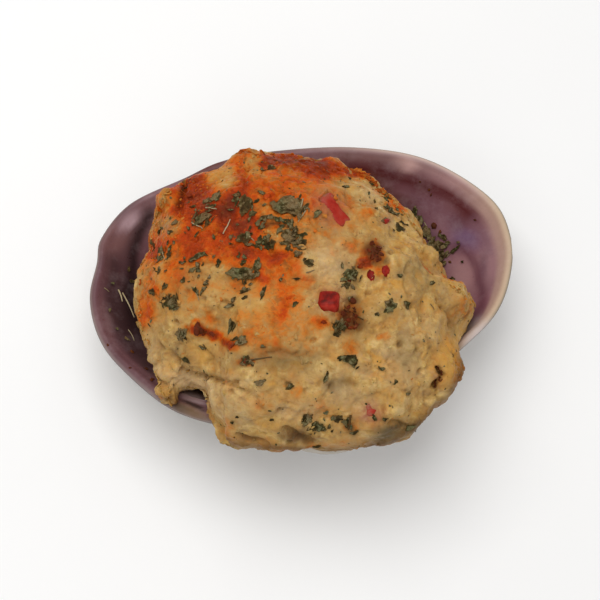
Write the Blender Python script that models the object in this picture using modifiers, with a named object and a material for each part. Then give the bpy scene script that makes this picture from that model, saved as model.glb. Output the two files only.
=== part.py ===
"""Stuffed clam: one valve of a large hard clam, cup up, heaped with browned bread stuffing.

Everything is modelled in the valve's own frame, in metres. The margin lies in the plane z = 0 and
the cup hangs below it. +X runs along the valve and the hinge is at the front, towards -Y. The last
step tips the valve back on to the flat spot that it rests on, whose centre becomes the origin.
"""

import math

import bmesh
import bpy
import numpy as np
from mathutils import Matrix, Vector, noise
from mathutils.bvhtree import BVHTree

MM = 0.001
GAP = 0.3 * MM

# The valve. The margin's knots start at the hinge and run round by the short end, in millimetres.
MARGIN_KNOTS = (
    (8.0, -33.4), (21.0, -29.0), (31.5, -21.6), (40.4, -13.4), (49.0, -4.0), (53.2, 6.5), (54.1, 18.0),
    (49.4, 30.0), (33.5, 41.7), (14.0, 45.5), (-8.0, 43.9), (-29.7, 36.0), (-43.4, 28.2), (-50.4, 18.0),
    (-51.2, 10.5), (-52.4, 0.5), (-49.6, -10.4), (-43.4, -19.2), (-30.7, -30.1), (-16.0, -34.8), (-3.0, -35.2),
)
MARGIN_POINTS = 48
CURVE_STEPS = 24  # fine steps between two knots, before the points are spaced evenly
VALVE_MIDDLE = (2.0 * MM, 4.0 * MM)
HINGE_POINT = (8.0 * MM, -35.2 * MM)
HINGE_YAW = math.radians(5.0)
GROWTH = 1.22  # how fast the valve shrinks as its growth is rolled back, per radian
DEEPEN = 1.17
BEAK_SIZE = 0.035  # the first growth line kept, as a share of the margin
GROWTH_RESTS = 7
REST_STEP = 0.45 * MM

LIP_WIDTH = 2.7 * MM
PLATE_WIDTH = 6.5 * MM
PLATE_REACH = (16.0 * MM, 44.0 * MM)  # along the margin, by the short side and by the long side
# Across the lip from outside to inside: share of its width, height, and depth of the hinge groove.
LIP_PROFILE = (
    (0.22, 0.45 * MM, 0.0), (0.50, 0.40 * MM, 0.3 * MM), (0.72, 0.10 * MM, 1.4 * MM), (1.0, -0.6 * MM, 0.3 * MM),
)
INNER_DEEPEN = 1.01
INNER_END = 0.22  # the last inner ring, as a share of the margin; past it a steep wall closes the cup
INNER_RINGS = 9

# How the valve rests: tipped back and to its long side, on a flat spot rubbed on its belly.
TIP_BACK = math.radians(10.0)
TIP_ASIDE = math.radians(4.0)
SOLE_X = 3.2 * MM
SOLE_Y = -2.0 * MM
SOLE_DEPTH = 23.6 * MM

# The stuffing. Knots of its widest outline, with their heights, in millimetres.
MOUND_KNOTS = (
    (43.4, -2.0, 3.0), (38.0, 3.0, 4.0), (37.0, 7.5, 4.0), (33.2, 11.5, 5.0), (30.5, 19.0, 6.0),
    (25.5, 25.0, 6.5), (20.0, 29.5, 7.0), (10.5, 33.4, 8.0), (-3.0, 34.9, 9.0), (-14.0, 34.7, 9.0),
    (-24.0, 32.2, 8.0), (-32.0, 26.8, 7.0), (-37.5, 20.0, 6.0), (-39.6, 10.0, 5.0), (-40.8, -1.8, 4.0),
    (-39.3, -10.5, 3.0), (-35.6, -20.0, 3.0), (-30.0, -25.6, 3.0), (-24.8, -27.6, 3.0), (-22.2, -34.0, 3.0),
    (-19.6, -40.8, 3.0), (-9.7, -41.0, 3.5), (4.3, -41.6, 4.0), (14.4, -41.7, 4.0), (23.2, -40.0, 4.0),
    (31.4, -33.0, 4.5), (36.6, -27.4, 5.0), (38.6, -20.8, 4.5), (39.2, -14.5, 4.0), (42.4, -8.0, 3.0),
)
MOUND_PEAK = (-7.0 * MM, 3.0 * MM, 27.5 * MM)
MOUND_DETAIL = 6  # subdivisions of the ball that it is drawn from
MOUND_GRAIN = 3.15 * MM  # size of the even faces that it is then given
UNDERSIDE_SHARE = 0.3  # of the ball's rise, under the widest outline
TOP_FULLNESS = (2.5, 1.75)  # exponents of the dome, across and up
UNDER_FULLNESS = (1.7, 1.6)
UNDER_DEPTH = 36.0 * MM
DROOP = 3.0 * MM  # below the margin's plane, where the stuffing hangs past the valve
DROOP_RUN = 4.5 * MM  # past the margin, before it hangs that low
LIP_CLEARANCE = 0.8 * MM
LIP_SAFETY = 0.6 * MM  # inside the margin, where the stuffing already counts as past it
CUP_CLEARANCE = 0.4 * MM
LAID = 0.7 * MM  # above the lowest that it may lie, where the stuffing counts as resting in the cup
UNDERSIDE_THINNING = 0.8  # share of the faces kept, once those that rest in the cup are made coarse
# Swellings and hollows of the heap, in millimetres: place, size across and height.
SWELLINGS = (
    (-14.5, 33.5, 6.0, 1.8), (-20.5, 28.5, 5.0, -0.9), (37.0, -24.0, 7.5, 1.8), (31.0, -29.0, 5.0, -1.2),
    (41.0, -6.0, 6.0, 0.8), (33.5, 0.5, 4.5, -1.8), (-21.0, -22.0, 6.5, -1.9), (-12.0, -30.0, 8.0, 1.6),
    (-10.0, 11.0, 13.0, 1.4), (17.0, 17.0, 8.0, 1.2), (9.0, -28.0, 8.0, 1.0), (-27.0, 2.0, 9.0, 1.2),
    (24.0, -8.0, 8.0, 1.0), (1.0, -8.0, 9.0, -0.9), (12.0, 29.0, 5.0, -1.2), (22.0, 6.0, 5.0, -1.0),
)
# Crags: size across and height, from the large lumps to the small ones.
CRAGS = ((15.0 * MM, 2.6 * MM), (8.5 * MM, 2.2 * MM), (5.6 * MM, 1.0 * MM))
CRAG_SHIFT = Vector((3.7, 1.9, 7.3))

# Lines of sight, for what is placed by where it shows: pixels of a 600-pixel picture taken from
# this rise above the margin's plane and this far off.
SIGHT_RISE = math.radians(62.0)
SIGHT_DISTANCE = 417.0 * MM
SIGHT_AIM = Vector((0.25 * MM, 0.0, 0.0))
SIGHT_MIDDLE = 300.0
SIGHT_PIXEL = 0.0006  # width of a pixel at a distance of one

# Dried herb leaves: across and down in pixels, then length and width in millimetres, and turn.
HERBS = (
    (284, 209, 8.4, 5.2, 12), (276, 227, 6.5, 2.4, 14), (245, 205, 5.4, 3.0, 84), (203, 218, 4.8, 2.4, 8),
    (217, 197, 2.8, 2.4, 20), (171, 303, 5.2, 4.2, 35), (240, 274, 6.4, 2.6, -8), (257, 265, 3.2, 1.8, 75),
    (244, 239, 3.6, 2.4, 15), (270, 244, 3.8, 2.2, -12), (288, 236, 3.6, 3.0, 40), (300, 244, 3.6, 3.0, -30),
    (159, 255, 4.0, 1.9, 68), (197, 257, 4.8, 1.7, 4), (391, 211, 3.8, 2.1, -35), (400, 228, 2.8, 2.2, 10),
    (352, 275, 4.4, 2.6, 68), (372, 256, 4.6, 3.4, 35), (390, 306, 3.2, 2.8, 60), (338, 325, 3.0, 2.4, 60),
    (352, 323, 3.8, 3.0, 20), (350, 359, 4.2, 2.2, -10), (232, 326, 3.2, 1.6, 84), (242, 341, 2.8, 2.2, 30),
    (181, 334, 2.8, 2.3, 20), (306, 420, 2.9, 2.4, 45), (318, 426, 3.6, 2.3, -5), (337, 418, 2.8, 2.0, -15),
    (349, 384, 4.4, 2.0, 5), (246, 361, 2.6, 2.2, 60), (271, 168, 2.6, 2.0, 80), (309, 263, 2.5, 1.9, 15),
)
HERB_SIDES = 7
HERB_THICKNESS = 1.5 * MM
HERB_SHOWS = 0.6 * MM
HERB_CURL = 0.5 * MM
HERB_TURN_SEED = 11
# Small red bits: across and down in pixels, and size in millimetres.
RED_BITS = ((386, 221, 2.6), (370, 277, 2.4), (386, 272, 2.0), (369, 413, 3.6), (197, 329, 3.4))
BIT_SHOWS = 0.8 * MM
# The two large pieces of red pepper: place, size (m), turn, and how far the middle is sunk.
DICE_PLACE = (328.5, 299.5)
DICE_SIZE = (5.4 * MM, 5.2 * MM, 5.0 * MM)
DICE_TURN = -8.0
DICE_SUNK = 1.7 * MM
STRIP_PLACE = (334.5, 211.0)
STRIP_SIZE = (9.2 * MM, 4.6 * MM, 4.0 * MM)
STRIP_TURN = -58.0
STRIP_SUNK = 1.1 * MM
PIECE_BEVEL = 0.9 * MM

# Colours (linear), roughness.
MATERIALS = {
    "shell": ((0.42, 0.30, 0.36), 0.35),
    "stuffing": ((0.50, 0.29, 0.11), 0.65),
    "pepper": ((0.38, 0.02, 0.02), 0.35),
}


def closed_curve(knots, count):
    """Evenly spaced points along the smooth closed curve through the knots."""
    knots = np.array(knots, float)
    before, after, beyond = (np.roll(knots, step, axis=0) for step in (1, -1, -2))
    t = np.linspace(0.0, 1.0, CURVE_STEPS, endpoint=False)[:, None, None]
    square = (2 * before - 5 * knots + 4 * after - beyond) * t**2
    cube = (3 * knots - before - 3 * after + beyond) * t**3
    fine = 0.5 * (2 * knots + (after - before) * t + square + cube)
    fine = fine.transpose(1, 0, 2).reshape(-1, knots.shape[1])
    looped = np.vstack([fine, fine[:1]])
    steps = np.linalg.norm(np.diff(looped, axis=0), axis=1)
    walked = np.concatenate([[0.0], np.cumsum(steps)])
    wanted = np.linspace(0.0, walked[-1], count, endpoint=False)
    return np.stack([np.interp(wanted, walked, column) for column in looped.T], axis=1)


def along_margin(margin):
    """Signed distance of each margin point from the hinge, positive by the short side."""
    step = np.linalg.norm(margin[1] - margin[0])
    index = np.arange(len(margin))
    return np.where(index > len(margin) / 2, index - len(margin), index) * step


def plate_share(margin):
    """How much of the hinge plate's width each point of the margin carries, from 0 to 1."""
    distance = along_margin(margin)
    reach = np.where(distance > 0, *PLATE_REACH)
    return np.exp(-((distance / reach) ** 2))


def drawn_in(margin, inset):
    """The margin pulled towards the valve's middle, by a distance or by one for each point."""
    spokes = margin - np.array(VALVE_MIDDLE)
    length = np.linalg.norm(spokes, axis=1)
    return np.array(VALVE_MIDDLE) + spokes * (1.0 - inset / length)[:, None]


def grown(outline, size, deepen):
    """An outline in the margin's plane as it was at this share of full size, rolled about the hinge."""
    roll = -math.log(size) / GROWTH
    hinge = Vector((*HINGE_POINT, 0.0))
    yaw = Matrix.Rotation(HINGE_YAW, 4, "Z")
    turned = Matrix.Diagonal((1.0, 1.0, deepen, 1.0)) @ Matrix.Rotation(-roll, 4, "X")
    whole = Matrix.Translation(hinge) @ yaw @ turned @ Matrix.Scale(size, 4)
    whole = np.array(whole @ yaw.inverted() @ Matrix.Translation(-hinge))
    flat = np.column_stack([outline, np.zeros(len(outline)), np.ones(len(outline))])
    return (flat @ whole.T)[:, :3]


def outer_rings(margin):
    """Growth lines from the beak to the margin, with a low step at each rest in growth."""
    rings = []
    sizes = np.linspace(BEAK_SIZE, 1.0, GROWTH_RESTS + 1)
    for inner, outer in zip(sizes[:-1], sizes[1:]):
        for share, lift in ((0.0, -0.2), (0.45, 0.1), (0.85, 0.8)):
            size = inner + (outer - inner) * share
            rings.append(grown(margin, size, DEEPEN) + lift * REST_STEP * outward(margin, size))
    rings.append(grown(margin, 1.0, DEEPEN))
    return rings


def outward(margin, size):
    """Unit directions from the hinge to the points of a growth line."""
    spokes = grown(margin, size, DEEPEN) - np.array((*HINGE_POINT, 0.0))
    return spokes / np.linalg.norm(spokes, axis=1)[:, None]


def lip_rings(margin):
    """The rounded lip, widening into the hinge plate with its groove."""
    plate = plate_share(margin)
    width = LIP_WIDTH + PLATE_WIDTH * plate
    rings = []
    for share, height, groove in LIP_PROFILE:
        ring = drawn_in(margin, width * share)
        rings.append(np.column_stack([ring, height - groove * plate]))
    return rings


def inner_rings(margin):
    """The inside of the cup, from just under the lip to the steep wall below the hinge plate."""
    plate = plate_share(margin)
    rings = []
    drop = LIP_PROFILE[-1][1]
    for size in np.linspace(1.0, INNER_END, INNER_RINGS + 1)[1:]:
        ring = grown(drawn_in(margin, LIP_WIDTH / size + PLATE_WIDTH * plate), size, INNER_DEEPEN)
        rings.append(ring + np.array((0.0, 0.0, drop * size)))
    return rings


def loft(rings):
    """A closed body through rings of as many points each, with a fan over each end."""
    bm = bmesh.new()
    loops = [[bm.verts.new(point) for point in ring] for ring in rings]
    for low, high in zip(loops[:-1], loops[1:]):
        for n in range(len(low)):
            bm.faces.new((low[n - 1], low[n], high[n], high[n - 1]))
    for loop in (loops[0], loops[-1]):
        middle = bm.verts.new(sum((vert.co for vert in loop), Vector()) / len(loop))
        for n in range(len(loop)):
            bm.faces.new((loop[n - 1], loop[n], middle))
    bmesh.ops.triangulate(bm, faces=bm.faces)
    bmesh.ops.recalc_face_normals(bm, faces=bm.faces)
    return bm


def resting_frame():
    """From the valve's own frame to the frame of the resting part."""
    tip = Matrix.Rotation(-TIP_ASIDE, 4, "Y") @ Matrix.Rotation(-TIP_BACK, 4, "X")
    return Matrix.Translation((-SOLE_X, -SOLE_Y, SOLE_DEPTH)) @ tip


def valve_mesh():
    """The whole valve in its own frame, with the flat spot rubbed on its belly."""
    margin = closed_curve(MARGIN_KNOTS, MARGIN_POINTS) * MM
    bm = loft(outer_rings(margin) + lip_rings(margin) + inner_rings(margin))
    rest = resting_frame()
    back = rest.inverted()
    for vert in bm.verts:
        settled = rest @ vert.co
        if settled.z < 0.0:
            settled.z = 0.0
            vert.co = back @ settled
    return bm


def crags(point, layers):
    """How far the baked crust stands out at this point."""
    height = 0.0
    for x, y, across, high in SWELLINGS:
        distance = math.hypot(point.x - x * MM, point.y - y * MM) / (across * MM)
        height += high * MM * math.exp(-distance * distance)
    for across, high in layers:
        place = point / across + CRAG_SHIFT
        lump = noise.voronoi(place)[0][0]
        height += high * (0.55 - lump + 0.5 * noise.noise(place * 0.7))
    return height


def floor_finder(margin, valve_tree):
    """A function giving how low the stuffing may lie at a point: in the cup, or hanging past the lip."""
    spokes = margin - np.array(VALVE_MIDDLE)
    angles = np.arctan2(spokes[:, 1], spokes[:, 0])
    reaches = np.linalg.norm(spokes, axis=1)
    order = np.argsort(angles)

    def floor_under(point):
        x, y = point.x - VALVE_MIDDLE[0], point.y - VALVE_MIDDLE[1]
        reach = np.interp(math.atan2(y, x), angles[order], reaches[order], period=2 * math.pi)
        past = math.hypot(x, y) - reach + LIP_SAFETY
        if past > 0.0:
            hang = min(1.0, past / DROOP_RUN) ** 2
            return LIP_CLEARANCE - (LIP_CLEARANCE + DROOP) * hang
        hit = valve_tree.ray_cast(Vector((point.x, point.y, UNDER_DEPTH)), Vector((0.0, 0.0, -1.0)))[0]
        return hit.z + CUP_CLEARANCE if hit else LIP_CLEARANCE

    return floor_under


def mound_edge():
    """Angle, reach and height of the widest outline, seen from under the peak."""
    peak = np.array(MOUND_PEAK)
    curve = closed_curve(MOUND_KNOTS, CURVE_STEPS * len(MOUND_KNOTS)) * MM
    spokes = curve[:, :2] - peak[:2]
    angle = np.arctan2(spokes[:, 1], spokes[:, 0])
    order = np.argsort(angle)
    return angle[order], np.linalg.norm(spokes, axis=1)[order], curve[order, 2]


def mound_form(floor_under):
    """The smooth heap: a ball drawn out to the widest outline and laid in the cup."""
    bm = bmesh.new()
    bmesh.ops.create_icosphere(bm, subdivisions=MOUND_DETAIL, radius=1.0)
    angles, reaches, heights = mound_edge()
    peak = Vector(MOUND_PEAK)
    for vert in bm.verts:
        way = math.atan2(vert.co.y, vert.co.x)
        share = 0.5 + math.asin(max(-1.0, min(1.0, vert.co.z))) / math.pi
        reach = np.interp(way, angles, reaches, period=2 * math.pi)
        edge = np.interp(way, angles, heights, period=2 * math.pi)
        if share >= UNDERSIDE_SHARE:
            lean = (share - UNDERSIDE_SHARE) / (1.0 - UNDERSIDE_SHARE) * math.pi / 2
            across, up = TOP_FULLNESS
            rise = peak.z - edge
        else:
            lean = (1.0 - share / UNDERSIDE_SHARE) * math.pi / 2
            across, up = UNDER_FULLNESS
            rise = -UNDER_DEPTH
        out = max(0.0, math.cos(lean)) ** (2 / across) * reach
        high = edge + rise * math.sin(lean) ** (2 / up)
        point = Vector((peak.x + out * math.cos(way), peak.y + out * math.sin(way), high))
        point.z = max(point.z, floor_under(point))
        vert.co = point
    return bm


def craggy(obj, floor_under):
    """Gives the smooth heap even faces, then its swellings and crags."""
    remesh = obj.modifiers.new("even_faces", "REMESH")
    remesh.mode = "VOXEL"
    remesh.voxel_size = MOUND_GRAIN
    applied(obj)
    bm = bmesh.new()
    bm.from_mesh(obj.data)
    bm.normal_update()
    moved = [vert.co + vert.normal * crags(vert.co, CRAGS) for vert in bm.verts]
    for vert, point in zip(bm.verts, moved):
        point.z = max(point.z, floor_under(point))
        vert.co = point
    resting = [vert.index for vert in bm.verts if vert.co.z < floor_under(vert.co) + LAID]
    bmesh.ops.triangulate(bm, faces=bm.faces)
    bm.to_mesh(obj.data)
    tree = BVHTree.FromBMesh(bm)
    bm.free()
    obj.vertex_groups.new(name="underside").add(resting, 1.0, "REPLACE")
    coarser = obj.modifiers.new("coarse_underside", "DECIMATE")
    coarser.vertex_group = "underside"
    coarser.ratio = UNDERSIDE_THINNING
    applied(obj)
    return tree


def sighted(tree, across, down):
    """Where the line of sight through this pixel meets the stuffing, and the way it faces there."""
    back = Vector((0.0, -math.cos(SIGHT_RISE), math.sin(SIGHT_RISE)))
    right = Vector((1.0, 0.0, 0.0))
    up = back.cross(right)
    aside = (across - SIGHT_MIDDLE) * SIGHT_PIXEL
    above = (SIGHT_MIDDLE - down) * SIGHT_PIXEL
    ray = (right * aside + up * above - back).normalized()
    place, normal = tree.ray_cast(SIGHT_AIM + back * SIGHT_DISTANCE, ray)[:2]
    if place is None:
        raise ValueError(f"nothing lies in sight at {across}, {down}")
    return place, normal, right, up


def laid(tree, across, down, turn):
    """A frame lying on the stuffing in sight at this pixel, its X axis turned in the picture."""
    place, normal, right, up = sighted(tree, across, down)
    turn = math.radians(turn)
    along = right * math.cos(turn) + up * math.sin(turn)
    along = (along - normal * along.dot(normal)).normalized()
    frame = Matrix((along, normal.cross(along), normal)).transposed().to_4x4()
    return Matrix.Translation(place) @ frame


def herb_mesh(length, width, draw):
    """A dried leaf: an uneven plate that curls."""
    bm = bmesh.new()
    bmesh.ops.create_circle(bm, cap_ends=True, segments=HERB_SIDES, radius=0.5)
    for vert in bm.verts:
        vert.co *= draw.uniform(0.82, 1.12)
        vert.co.x *= length * MM
        vert.co.y *= width * MM
        vert.co.z = HERB_SHOWS - HERB_THICKNESS
    top = bmesh.ops.extrude_face_region(bm, geom=list(bm.faces))["geom"]
    for vert in top:
        if isinstance(vert, bmesh.types.BMVert):
            vert.co.z += HERB_THICKNESS + HERB_CURL * draw.uniform(-0.5, 1.0)
            vert.co.x *= 0.92
            vert.co.y *= 0.9
    bmesh.ops.triangulate(bm, faces=bm.faces)
    bmesh.ops.recalc_face_normals(bm, faces=bm.faces)
    return bm


def block_mesh(size, bevel):
    """A cut piece of vegetable: a block with soft edges."""
    bm = bmesh.new()
    bmesh.ops.create_cube(bm, size=1.0, matrix=Matrix.Diagonal((*size, 1.0)))
    bmesh.ops.bevel(bm, geom=bm.edges[:], offset=bevel, segments=2, affect="EDGES", profile=0.5)
    bmesh.ops.triangulate(bm, faces=bm.faces)
    return bm


def new_collection(name):
    """An empty collection, linked into the scene."""
    collection = bpy.data.collections.new(name)
    bpy.context.scene.collection.children.link(collection)
    return collection


def new_object(name, bm, collection, material=None):
    """Puts a finished mesh into the scene as a named object."""
    mesh = bpy.data.meshes.new(name)
    bm.to_mesh(mesh)
    bm.free()
    obj = bpy.data.objects.new(name, mesh)
    collection.objects.link(obj)
    if material:
        mesh.materials.append(material)
    return obj


def new_material(name):
    """A plain surface with the colour and gloss of this substance."""
    colour, roughness = MATERIALS[name]
    material = bpy.data.materials.new(name)
    material.use_nodes = True
    surface = material.node_tree.nodes["Principled BSDF"]
    surface.inputs["Base Color"].default_value = (*colour, 1.0)
    surface.inputs["Roughness"].default_value = roughness
    surface.inputs["Metallic"].default_value = 0.0
    return material


def swollen(bm, distance):
    """Every point moved out by the distance, so that what it cuts keeps clear of the original."""
    bm.normal_update()
    moved = [vert.co + vert.normal * distance for vert in bm.verts]
    for vert, place in zip(bm.verts, moved):
        vert.co = place
    return bm


def applied(obj):
    """The object's mesh is replaced by what its modifiers make of it."""
    graph = bpy.context.evaluated_depsgraph_get()
    mesh = bpy.data.meshes.new_from_object(obj.evaluated_get(graph))
    obj.modifiers.clear()
    old = obj.data
    obj.data = mesh
    bpy.data.meshes.remove(old)


def add_boolean(obj, operation, other):
    """Joins or cuts the object by another object or by a whole collection."""
    modifier = obj.modifiers.new(operation.lower(), "BOOLEAN")
    modifier.operation = operation
    modifier.solver = "EXACT"
    if isinstance(other, bpy.types.Collection):
        modifier.operand_type = "COLLECTION"
        modifier.collection = other
    else:
        modifier.object = other


def make_cutter(name, bm, cutters):
    """A helper that only cuts: never rendered, drawn as wires."""
    cutter = new_object(name, bm, cutters)
    cutter.hide_render = True
    cutter.display_type = "WIRE"
    return cutter


def remove_all(objects):
    """Takes these objects out of the file."""
    for obj in list(objects):
        bpy.data.objects.remove(obj, do_unlink=True)


def make_shell(parts, material):
    """The valve with its growth steps, lip, hinge plate and flat spot."""
    return new_object("shell", valve_mesh(), parts, material)


def make_pepper(name, tree, place, size, turn, sunk, parts, cutters, material):
    """A piece of red pepper set in the stuffing, and the pocket that keeps it clear."""
    frame = laid(tree, *place, turn) @ Matrix.Translation((0.0, 0.0, -sunk))
    piece = block_mesh(size, PIECE_BEVEL)
    piece.transform(frame)
    pocket = block_mesh([side + 2 * GAP for side in size], PIECE_BEVEL)
    pocket.transform(frame)
    make_cutter(name + "_pocket", pocket, cutters)
    return new_object(name, piece, parts, material)


def make_toppings(tree, toppings):
    """The herb leaves and small red bits that are baked on to the stuffing."""
    draw = np.random.default_rng(HERB_TURN_SEED)
    for n, (across, down, length, width, turn) in enumerate(HERBS):
        herb = herb_mesh(length, width, draw)
        herb.transform(laid(tree, across, down, turn))
        new_object(f"herb_{n}", herb, toppings)
    for n, (across, down, side) in enumerate(RED_BITS):
        sides = np.array((1.0, draw.uniform(0.7, 1.0), draw.uniform(0.7, 0.9))) * side * MM
        bit = block_mesh(sides, side * MM * 0.2)
        lift = Matrix.Translation((0.0, 0.0, BIT_SHOWS - sides[2] / 2))
        bit.transform(laid(tree, across, down, draw.uniform(0.0, 90.0)) @ lift)
        new_object(f"bit_{n}", bit, toppings)


def make_stuffing(parts, cutters, toppings, material):
    """The heap, cut clear of the valve, with its toppings fused on."""
    margin = closed_curve(MARGIN_KNOTS, MARGIN_POINTS) * MM
    floor_under = floor_finder(margin, BVHTree.FromBMesh(valve_mesh()))
    stuffing = new_object("stuffing", mound_form(floor_under), parts, material)
    tree = craggy(stuffing, floor_under)
    make_cutter("valve_clearance", swollen(valve_mesh(), GAP * 1.1), cutters)
    make_toppings(tree, toppings)
    add_boolean(stuffing, "UNION", toppings)
    applied(stuffing)
    remove_all(toppings.objects)
    return stuffing, tree


def keep_largest(obj):
    """Drops the loose scraps that cutting leaves, and keeps the one large body."""
    bm = bmesh.new()
    bm.from_mesh(obj.data)
    left = set(bm.verts)
    bodies = []
    while left:
        body, edge = set(), {next(iter(left))}
        while edge:
            body |= edge
            edge = {e.other_vert(v) for v in edge for e in v.link_edges} - body
        bodies.append(body)
        left -= body
    bodies.sort(key=len)
    for body in bodies[:-1]:
        bmesh.ops.delete(bm, geom=list(body), context="VERTS")
    bmesh.ops.triangulate(bm, faces=bm.faces)
    bm.to_mesh(obj.data)
    bm.free()


def finish(parts):
    """Sets every part down on the flat spot and shades it smooth."""
    rest = resting_frame()
    for obj in parts.objects:
        obj.data.transform(rest)
        obj.data.shade_smooth()
        obj.data.set_sharp_from_angle(angle=math.radians(40.0))


def main():
    remove_all(bpy.data.objects)
    parts, cutters, toppings = (new_collection(name) for name in ("stuffed_clam", "cutters", "toppings"))
    cutters.hide_render = True
    materials = {name: new_material(name) for name in MATERIALS}
    make_shell(parts, materials["shell"])
    stuffing, tree = make_stuffing(parts, cutters, toppings, materials["stuffing"])
    pepper = materials["pepper"]
    make_pepper("pepper_dice", tree, DICE_PLACE, DICE_SIZE, DICE_TURN, DICE_SUNK, parts, cutters, pepper)
    make_pepper("pepper_strip", tree, STRIP_PLACE, STRIP_SIZE, STRIP_TURN, STRIP_SUNK, parts, cutters, pepper)
    add_boolean(stuffing, "DIFFERENCE", cutters)
    applied(stuffing)
    keep_largest(stuffing)
    remove_all(cutters.objects)
    finish(parts)


main()
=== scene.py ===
"""Stuffed clam: the looks of one clam valve heaped with browned bread stuffing.

Lengths are in metres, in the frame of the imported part. Shell and heap are drawn in the valve's own
frame, with the margin in the plane z = 0, and then set down as the part rests. What the eye places
is given by lines of sight: pixels of a 600-pixel picture taken from above the margin.
"""

import math

import bmesh
import bpy
import numpy as np
from bpy.props import FloatProperty, FloatVectorProperty, IntProperty, PointerProperty
from mathutils import Matrix, Vector, noise
from mathutils.bvhtree import BVHTree


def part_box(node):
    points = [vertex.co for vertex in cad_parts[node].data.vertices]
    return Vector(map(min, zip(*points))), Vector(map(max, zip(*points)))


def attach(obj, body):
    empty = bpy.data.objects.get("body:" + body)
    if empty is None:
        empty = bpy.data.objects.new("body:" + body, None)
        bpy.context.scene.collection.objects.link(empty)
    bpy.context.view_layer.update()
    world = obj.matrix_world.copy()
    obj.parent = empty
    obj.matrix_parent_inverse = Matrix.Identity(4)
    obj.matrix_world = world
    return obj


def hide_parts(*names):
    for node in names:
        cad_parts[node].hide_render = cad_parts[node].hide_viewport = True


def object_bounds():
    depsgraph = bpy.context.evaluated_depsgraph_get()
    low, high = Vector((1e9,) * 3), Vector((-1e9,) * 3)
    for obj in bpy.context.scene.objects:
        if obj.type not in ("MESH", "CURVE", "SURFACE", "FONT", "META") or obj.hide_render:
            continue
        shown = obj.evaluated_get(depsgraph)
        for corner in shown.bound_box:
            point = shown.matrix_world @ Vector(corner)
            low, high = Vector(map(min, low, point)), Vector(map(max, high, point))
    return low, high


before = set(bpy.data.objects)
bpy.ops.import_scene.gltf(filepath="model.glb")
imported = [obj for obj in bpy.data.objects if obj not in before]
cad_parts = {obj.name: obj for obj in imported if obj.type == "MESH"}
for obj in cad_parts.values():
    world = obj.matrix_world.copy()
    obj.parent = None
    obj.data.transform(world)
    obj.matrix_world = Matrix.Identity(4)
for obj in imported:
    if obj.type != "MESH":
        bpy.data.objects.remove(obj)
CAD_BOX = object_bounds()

bl_info = {
    "name": "Stuffed clam",
    "version": (1, 0, 0),
    "blender": (4, 5, 0),
    "location": "3D View > Sidebar > Stuffed clam",
    "description": "Builds a clam shell heaped with browned stuffing, herbs and red pepper",
    "category": "Object",
}

MM = 0.001

# The valve, as in the part, but its margin bulges up to 1.5 mm more behind the heap at the upper left.
# Knots of the margin from the hinge round by the short end, in millimetres.
MARGIN_KNOTS = (
    (8.0, -33.4), (21.0, -29.0), (31.5, -21.6), (40.4, -13.4), (49.0, -4.0), (53.2, 6.5), (54.1, 18.0),
    (49.4, 30.0), (33.5, 41.7), (14.0, 45.5), (-8.0, 44.1), (-20.5, 41.0), (-29.7, 36.0), (-43.4, 28.2),
    (-50.4, 18.0), (-51.2, 10.5), (-52.4, 0.5), (-49.6, -10.4), (-43.4, -19.2), (-30.7, -30.1),
    (-16.0, -34.8), (-3.0, -35.2),
)
CURVE_STEPS = 24
VALVE_MIDDLE = (2.0 * MM, 4.0 * MM)
HINGE_POINT = (8.0 * MM, -35.2 * MM)
HINGE_YAW = math.radians(5.0)
GROWTH = 1.22
DEEPEN = 1.17
BEAK_SIZE = 0.035
GROWTH_RESTS = 7
REST_STEP = 0.45 * MM
REST_PROFILE = ((0.0, 0.45, 0.85, 1.0), (-0.2, 0.1, 0.8, -0.2))  # share of a rest, and its step
LIP_WIDTH = 2.7 * MM
PLATE_WIDTH = 6.5 * MM
PLATE_REACH = (16.0 * MM, 44.0 * MM)
LIP_PROFILE = (
    (0.0, 0.0, 0.0), (0.10, 0.34 * MM, 0.0), (0.22, 0.45 * MM, 0.0), (0.50, 0.40 * MM, 0.3 * MM),
    (0.62, 0.27 * MM, 0.9 * MM), (0.72, 0.10 * MM, 1.5 * MM), (0.80, -0.10 * MM, 1.1 * MM),
    (0.90, -0.35 * MM, 0.4 * MM), (1.0, -0.6 * MM, 0.3 * MM),
)
INNER_DEEPEN = 1.01
INNER_END = 0.22

# The visual valve's fineness.
MARGIN_POINTS = 260
OUTER_RINGS = 170
LIP_STEPS = 14
INNER_RINGS = 52
RIDGE_HEIGHT = 0.13 * MM
RIDGES = 46.0  # fine ridges between the beak and the margin

# How the valve rests.
TIP_BACK = math.radians(10.0)
TIP_ASIDE = math.radians(4.0)
SOLE_X = 3.2 * MM
SOLE_Y = -2.0 * MM
SOLE_DEPTH = 23.6 * MM

# The heap, as in the part. Knots of its widest outline, with their heights, in millimetres.
MOUND_KNOTS = (
    (43.4, -2.0, 3.0), (38.0, 3.0, 4.0), (37.0, 7.5, 4.0), (33.2, 11.5, 5.0), (30.5, 19.0, 6.0),
    (25.5, 25.0, 6.5), (20.0, 29.5, 7.0), (10.5, 33.4, 8.0), (-3.0, 34.9, 9.0), (-14.0, 34.7, 9.0),
    (-24.0, 32.2, 8.0), (-32.0, 26.8, 7.0), (-37.5, 20.0, 6.0), (-39.6, 10.0, 5.0), (-40.8, -1.8, 4.0),
    (-39.3, -10.5, 3.0), (-35.6, -20.0, 3.0), (-30.0, -25.6, 3.0), (-24.8, -27.6, 3.0), (-22.2, -34.0, 3.0),
    (-19.6, -40.8, 3.0), (-9.7, -41.0, 3.5), (4.3, -41.6, 4.0), (14.4, -41.7, 4.0), (23.2, -40.0, 4.0),
    (31.4, -33.0, 4.5), (36.6, -27.4, 5.0), (38.6, -20.8, 4.5), (39.2, -14.5, 4.0), (42.4, -8.0, 3.0),
)
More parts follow.
